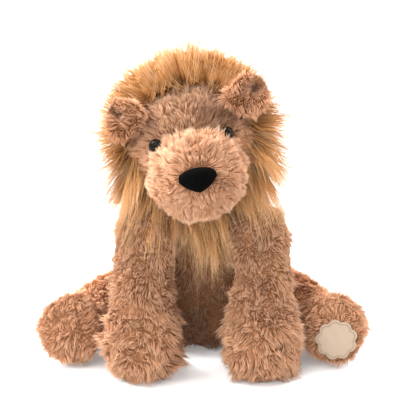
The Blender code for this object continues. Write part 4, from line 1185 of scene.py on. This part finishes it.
def front_leg_skin(name, sign, inset):
    rings = []
    top = SHOULDER.z + SHOULDER_ROUND
    for rise, out, forward, wide, depth in FRONT_LEG_SHARES:
        tall = inset * 0.4 + rise * SHOULDER.z * (top - 1.4 * inset) / top
        middle = Vector((sign * out * PAW_SIDE, SHOULDER.y - forward * PAW_FORWARD, tall))
        rings.append(level_ring(middle, wide * PAW_HALF_WIDTH - inset, depth * PAW_HALF_DEPTH - inset, 20))
    last_out = FRONT_LEG_SHARES[-1][1]
    reach = SHOULDER_ROUND - inset
    for rise, depth, wide in SHOULDER_SHARES:
        middle = Vector((sign * last_out * PAW_SIDE, SHOULDER.y, SHOULDER.z + rise * reach))
        half_width, half_depth = max(wide * PAW_HALF_WIDTH - inset, LEAST_HALF), max(depth * reach, LEAST_HALF)
        rings.append(level_ring(middle, half_width, half_depth, 20))
    skin = loft_skin(name, rings, inset * 0.35)
    lumps(skin, 0.022, 0.0017, 17.0 + sign)
    plane = SHOULDER.x + 0.0004 + inset * 0.1
    return cut_away(skin, [side_block(sign, -0.06, plane, (-0.2, LEG_CUT_FOOT), (0.1, 0.2))])


for side, sign in (("left", 1), ("right", -1)):
    skin = front_leg_skin(f"front_leg_plush_{side}", sign, PILE_DEPTH)
    places = points_of(skin)
    across, back, up = places.T
    low = below(up, PAW_FLUFF_TOP, PAW_FLUFF_FADE)
    spread = unit(places - np.array((sign * PAW_SIDE, SHOULDER.y - PAW_FORWARD * 1.6, PAW_TOP)))
    way = spread * low[:, None] + np.array((0, 0, -1.0)) * (1 - low)[:, None]
    hidden = (np.abs(across) < SHOULDER.x + 0.0012) & (up > 0.085) | (up < BARE_FLOOR)
    cover = np.where(hidden, 0.0, np.where(back > -0.062, 0.7, 1.0))
    # Painted shade: the pile above the paws is a little darker, in the shadow of the mane and head.
    piece = grow(
        f"front_leg_plush_{side}", skin, combed(way, normals_of(skin), 0.42), TAN_BACKING, LIMB_PILE, 1 + 0.45 * low, cover,
        0.09 * (1 - low), Length=0.0122, Density=7.3e5, Seed=50 + sign,
    )
    dress(piece, f"front_leg_{side}", f"front_leg_cover_{side}")
    skin = front_leg_skin(f"front_leg_stuffing_{side}", sign, FILL_DEPTH + 0.001)
    stuff(f"front_leg_stuffing_{side}", skin, f"front_leg_{side}", f"front_leg_filling_{side}")


# Hind legs: stuffed tubes of tan plush, sewn to the hips, that come out sideways and turn forward.
# A round panel of plush is sewn into the end of each as a sole that faces the viewer.
FOOT = Vector((0.1150, -0.0930, 0.0330))
HIP_BACK, FOOT_FORWARD = -0.0110, 0.0820
FOOT_HALF_WIDTH, FOOT_HALF_HEIGHT = 0.0320, 0.0335
HIP_GAP = 0.0006
HIP_HEADINGS = (0, 25, 45, 62, 78, 88, 90, 90, 90, 90)
HIND_LEG_SHARES = (
    (0.000, 0.000, 1.333, 0.875, 0.866), (0.285, 0.061, 1.227, 0.875, 0.806), (0.532, 0.195, 1.121, 0.828, 0.761),
    (0.732, 0.378, 1.000, 0.797, 0.731), (0.888, 0.561, 0.970, 0.859, 0.806), (0.978, 0.683, 0.985, 0.953, 0.940),
    (1.000, 0.780, 1.000, 0.985, 1.000), (1.000, 0.890, 1.000, 0.970, 0.985), (1.000, 0.963, 1.000, 0.940, 0.940),
    (1.000, 1.000, 1.000, 0.885, 0.880),
)
SOLE_SHARE_WIDE, SOLE_SHARE_TALL, SOLE_CROWN, SOLE_SINK = 0.885, 0.880, 0.0048, 0.0056
PATCH_MIDDLE = Vector((FOOT.x + 0.0015, FOOT.y, FOOT.z - 0.0050))
PATCH_CLEARING = 0.0160


def hind_leg_skin(name, sign, inset):
    rings = []
    root = HIP_PLANE + HIP_GAP
    for heading, (out, forward, rise, wide, tall) in zip(HIP_HEADINGS, HIND_LEG_SHARES):
        turn = math.radians(heading)
        side = Vector((sign * math.sin(turn), math.cos(turn), 0))
        middle = Vector((sign * (root + out * (FOOT.x - root)), HIP_BACK - forward * FOOT_FORWARD, rise * FOOT.z))
        rings.append(ring_points(middle, side, UP, wide * FOOT_HALF_WIDTH - inset, tall * FOOT_HALF_HEIGHT - inset, 20))
    shift = Vector((0, inset * 0.6, 0))
    rings[-1] = [p + shift for p in rings[-1]]
    skin = loft_skin(name, rings, inset * 0.4)
    lumps(skin, 0.022, 0.0016, 23.0 + sign)
    return cut_away(skin, [side_block(sign, 0.0, root, (-0.2, -0.05), (0.1, 0.2))])


def sole_skin(name, sign):
    """A round panel, a little crowned, that closes the foot."""
    under = PILE_DEPTH - 0.0004
    half_width, half_height = SOLE_SHARE_WIDE * FOOT_HALF_WIDTH - under, SOLE_SHARE_TALL * FOOT_HALF_HEIGHT - under
    middle = (sign * FOOT.x, FOOT.y + SOLE_SINK, FOOT.z)
    return ball_skin(name, middle, Vector((half_width, SOLE_CROWN, half_height)), Matrix(), 48, 24)


for side, sign in (("left", 1), ("right", -1)):
    skin = hind_leg_skin(f"hind_leg_plush_{side}", sign, PILE_DEPTH)
    across, back, up = points_of(skin).T
    hidden = (np.abs(across) < HIP_PLANE + 0.0012) | (up < BARE_FLOOR) | (normals_of(skin)[:, 1] < -0.96)
    # Painted light: the hind legs' pile is lighter, most at the thighs and less toward the feet.
    shade = 0.22 * below(back, -0.035, 0.050) - 0.36
    piece = grow(
        f"hind_leg_plush_{side}", skin, combed((0, -0.9, -0.5), normals_of(skin), 0.40), TAN_BACKING, LIMB_PILE,
        1.0, np.where(hidden, 0.0, 1.0), shade, Length=0.0122, Density=7e5, Seed=60 + sign,
    )
    dress(piece, f"hind_leg_{side}", f"hind_leg_cover_{side}")
    skin = hind_leg_skin(f"hind_leg_stuffing_{side}", sign, FILL_DEPTH + 0.002)
    stuff(f"hind_leg_stuffing_{side}", skin, f"hind_leg_{side}", f"hind_leg_filling_{side}")
    skin = sole_skin(f"sole_plush_{side}", sign)
    places = points_of(skin)
    middle = np.array(PATCH_MIDDLE if sign > 0 else (sign * FOOT.x, FOOT.y, FOOT.z))
    cover = np.where(places[:, 1] < FOOT.y + SOLE_SINK, 1.0, 0.0)
    if sign > 0:
        under_patch = np.hypot(places[:, 0] - middle[0], places[:, 2] - middle[2]) < PATCH_CLEARING
        cover = np.where(under_patch, 0.0, cover)
    # Painted light: the sole's pile is a little lighter.
    piece = grow(
        f"sole_plush_{side}", skin, combed(places - middle, normals_of(skin), 0.5), TAN_BACKING, LIMB_PILE,
        1.0, cover, -0.15, Length=0.0104, Density=7.6e5, Seed=62 + sign,
    )
    dress(piece, f"hind_leg_{side}", f"sole_panel_{side}")


# Sole patch: a bare cream disc of felt with nine scallops on the left sole, pressed down in a groove
# where buff thread stitches it to the panel, just inside its rim.
PATCH_RADIUS, PATCH_SCALLOPS, PATCH_DEPTH = 0.0186, 9, 0.0016
PATCH_FACE = -0.0015
PATCH_ROWS = (
    (0.97, 0.0020), (1.00, 0.0010), (1.00, -0.0004), (0.985, -0.0011), (0.95, -0.0013), (0.90, -0.0011),
    (0.875, -0.0008), (0.85, -0.0011), (0.80, -0.0013), (0.50, -0.0014), (0.20, -0.0015),
)
STITCH_COUNT, STITCH_SHARE, STITCH_DEPTH = 8 * PATCH_SCALLOPS, 0.885, -0.0012
STITCH_SIZES = dict(Length=0.00125, Thickness=0.00045, Sides=6)


def patch_point(turn, size, depth):
    """A point of the scalloped outline, drawn smaller by a share."""
    lobe = abs(math.sin(turn * PATCH_SCALLOPS / 2 + 0.3))
    radius = size * (PATCH_RADIUS - PATCH_DEPTH * 1.5 * (1 - lobe))
    return PATCH_MIDDLE + Vector((radius * math.cos(turn), depth, radius * math.sin(turn)))


def felt_finish():
    material, tree, set_shader = new_finish("cream_felt")
    nap, cloud = speckle(tree, 1500.0, 4.0), speckle(tree, 130.0, 2.0)
    tone = blend_colours(tree, nap * 0.5 + cloud * 0.5, (0.36, 0.270, 0.193), (0.46, 0.352, 0.260))
    set_shader(Base_Color=tone, Roughness=0.9, Normal=bump(tree, nap, 0.35, 0.0003), Sheen_Weight=0.1)
    return material


def patch_mesh():
    around = 36 * PATCH_SCALLOPS
    turns = [math.tau * step / around for step in range(around)]
    points = [patch_point(turn, size, depth) for size, depth in PATCH_ROWS for turn in turns]
    faces = wall_faces(len(PATCH_ROWS), around)
    last = len(points) - around
    faces += [(last + step, last + (step + 1) % around, len(points)) for step in range(around)]
    faces.append(tuple(reversed(range(around))))
    points.append(PATCH_MIDDLE + Vector((0, PATCH_FACE, 0)))
    mesh = new_mesh("sole_badge", points, faces)
    make_outward(mesh)
    mesh.shade_smooth()
    mesh.materials.append(felt_finish())
    return mesh


def stitch_tree():
    """Lays one small stitch at each point of a line, turned along the line."""
    tree, inlet = new_tree("stitches", {
        "Geometry": ("Line",), "Float": ("Length", "Thickness"), "Int": ("Sides",), "Material": ("Finish",),
    }, "Stitches")
    thick = inlet.out("Thickness")
    grain = {"Segments": inlet.out("Sides"), "Rings": 4, "Radius": 0.5}
    grain = add_node(tree, "GeometryNodeMeshUVSphere", {}, grain)
    size = add_node(tree, "ShaderNodeCombineXYZ", {}, {"X": inlet.out("Length"), "Y": thick, "Z": thick})
    aim = add_node(tree, "GeometryNodeInputNamedAttribute", {"data_type": "FLOAT_VECTOR"}, {"Name": "aim"})
    turn = add_node(tree, "FunctionNodeAlignRotationToVector", {"axis": "X"}, {"Vector": aim})
    points = add_node(tree, "GeometryNodeMeshToPoints", {}, {"Mesh": inlet.out("Line")})
    laying = {"Points": points, "Instance": grain, "Rotation": turn, "Scale": size}
    laid = add_node(tree, "GeometryNodeInstanceOnPoints", {}, laying)
    laid = add_node(tree, "GeometryNodeRealizeInstances", {}, {"Geometry": laid})
    laid = add_node(tree, "GeometryNodeSetShadeSmooth", {}, {"Geometry": laid, "Shade Smooth": True})
    laid = add_node(tree, "GeometryNodeSetMaterial", {}, {"Geometry": laid, "Material": inlet.out("Finish")})
    add_node(tree, "NodeGroupOutput", {}, {"Stitches": laid})
    return tree


def sewn(name, points, aims, sizes):
    """A line of stitches as a plain mesh object."""
    line = new_mesh(name + "_line", points, [])
    hold(line, "aim", aims, "FLOAT_VECTOR")
    base = link_object(name + "_line", line)
    made = made_by_tree(stitch_tree(), base, sizes)
    bpy.data.objects.remove(base)
    return link_object(name, made)


rim = [patch_point(math.pi * step / STITCH_COUNT, STITCH_SHARE, STITCH_DEPTH) for step in range(2 * STITCH_COUNT)]
aims = [(rim[(i + 1) % len(rim)] - rim[i - 1]).normalized() for i in range(0, len(rim), 2)]
BUFF_THREAD = thread_finish("buff_thread", 900.0, (0.22, 0.125, 0.065), (0.34, 0.210, 0.125), False)
badge_thread = sewn("badge_stitches", rim[::2], aims, dict(STITCH_SIZES, Finish=BUFF_THREAD))
sole_badge = link_object("sole_badge", patch_mesh())
join(sole_badge, badge_thread)
dress(sole_badge, "hind_leg_left", "sole_patch")


# Tail: a thin stuffed tube of short plush, sewn in at the bottom of the back seam, that curls along
# the floor to the lion's left and ends in a tuft of golden pile.
TAIL_RADIUS, TAIL_LENGTH, TAIL_DROP = 0.0090, 0.0520, 0.0110
TAIL_ROOT, TAIL_ROOT_SINK, TAIL_ROOT_HALF = Vector((0, 0.066768, 0.0200)), 0.0066, 0.0055
TAIL_SHARES = (
    (0.00, 0.000, 0.00, 0.97), (0.05, 0.180, 0.55, 0.97), (0.16, 0.360, 0.90, 1.00),
    (0.36, 0.510, 1.00, 1.00), (0.60, 0.590, 1.00, 0.95), (0.85, 0.610, 1.00, 0.85),
)
TAIL_HEADINGS = (0, 15, 35, 60, 80, 88)
TAIL_SKIN_DEPTH, TAIL_FILL_DEPTH = 0.0028, 0.0046
TAIL_PILE_START, TAIL_BARE_FLOOR = 0.0605, 0.0016
TUFT_CORE_SHIFT, TUFT_CORE_HALF = Vector((0.010, 0, 0.001)), Vector((0.0100, 0.0070, 0.0070))


def tail_skin(name, inset):
    root = TAIL_ROOT - BACKWARD * TAIL_ROOT_SINK
    rings = [ring_points(root, -ACROSS, UP, TAIL_ROOT_HALF, TAIL_ROOT_HALF, 14)]
    for heading, (out, back, drop, size) in zip(TAIL_HEADINGS, TAIL_SHARES):
        turn = math.radians(heading)
        side = Vector((-math.cos(turn), math.sin(turn), 0))
        middle = TAIL_ROOT + Vector((out * TAIL_LENGTH, back * TAIL_LENGTH, -drop * TAIL_DROP))
        rings.append(ring_points(middle, side, UP, size * TAIL_RADIUS - inset, size * TAIL_RADIUS - inset, 14))
    return loft_skin(name, rings, inset * 0.4)


skin = tail_skin("tail_plush", TAIL_SKIN_DEPTH)
across, back, up = points_of(skin).T
comb = combed((0.8, 0.4, -0.1), normals_of(skin), 0.5)
cover = np.where((back < TAIL_PILE_START) | (up < TAIL_BARE_FLOOR), 0.0, 1.0)
piece = grow("tail_plush", skin, comb, TAN_BACKING, LIMB_PILE, 1.0, cover, Length=0.0070, Density=7e5, Seed=71)
dress(piece, "tail", "tail_cover")
stuff("tail_stuffing", tail_skin("tail_stuffing", TAIL_FILL_DEPTH), "tail", "tail_filling")
tuft_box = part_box("tail_tuft")
tuft_middle = (tuft_box[0] + tuft_box[1]) / 2
skin = ball_skin("tail_tuft_pile", tuft_middle - TUFT_CORE_SHIFT, TUFT_CORE_HALF, Matrix(), 28, 18)
piece = grow(
    "tail_tuft_pile", skin, (0.75, 0.05, -0.12), BROWN_BACKING, MANE_PILE, Length=0.034, Rise=0.40, Swirl=0.20,
    Uneven=0.7, Lump=0.35, Tuft_Size=0.0045, Density=1.5e6, Seed=72,
)
dress(piece, "tail", "tail_tuft")


# Floor contact: where the legs, the seat and the tail rest, their pile is pressed flat on the floor,
# so no strand goes through it.
FLOOR_GAP = 0.0002
for piece in list(bpy.context.scene.objects):
    if piece.type == "MESH" and not piece.hide_render and "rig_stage" not in piece and "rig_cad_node" not in piece:
        points = points_of(piece.data)
        if points[:, 2].min() < FLOOR_GAP:
            points[:, 2] = np.maximum(points[:, 2], FLOOR_GAP)
            set_points(piece.data, points)
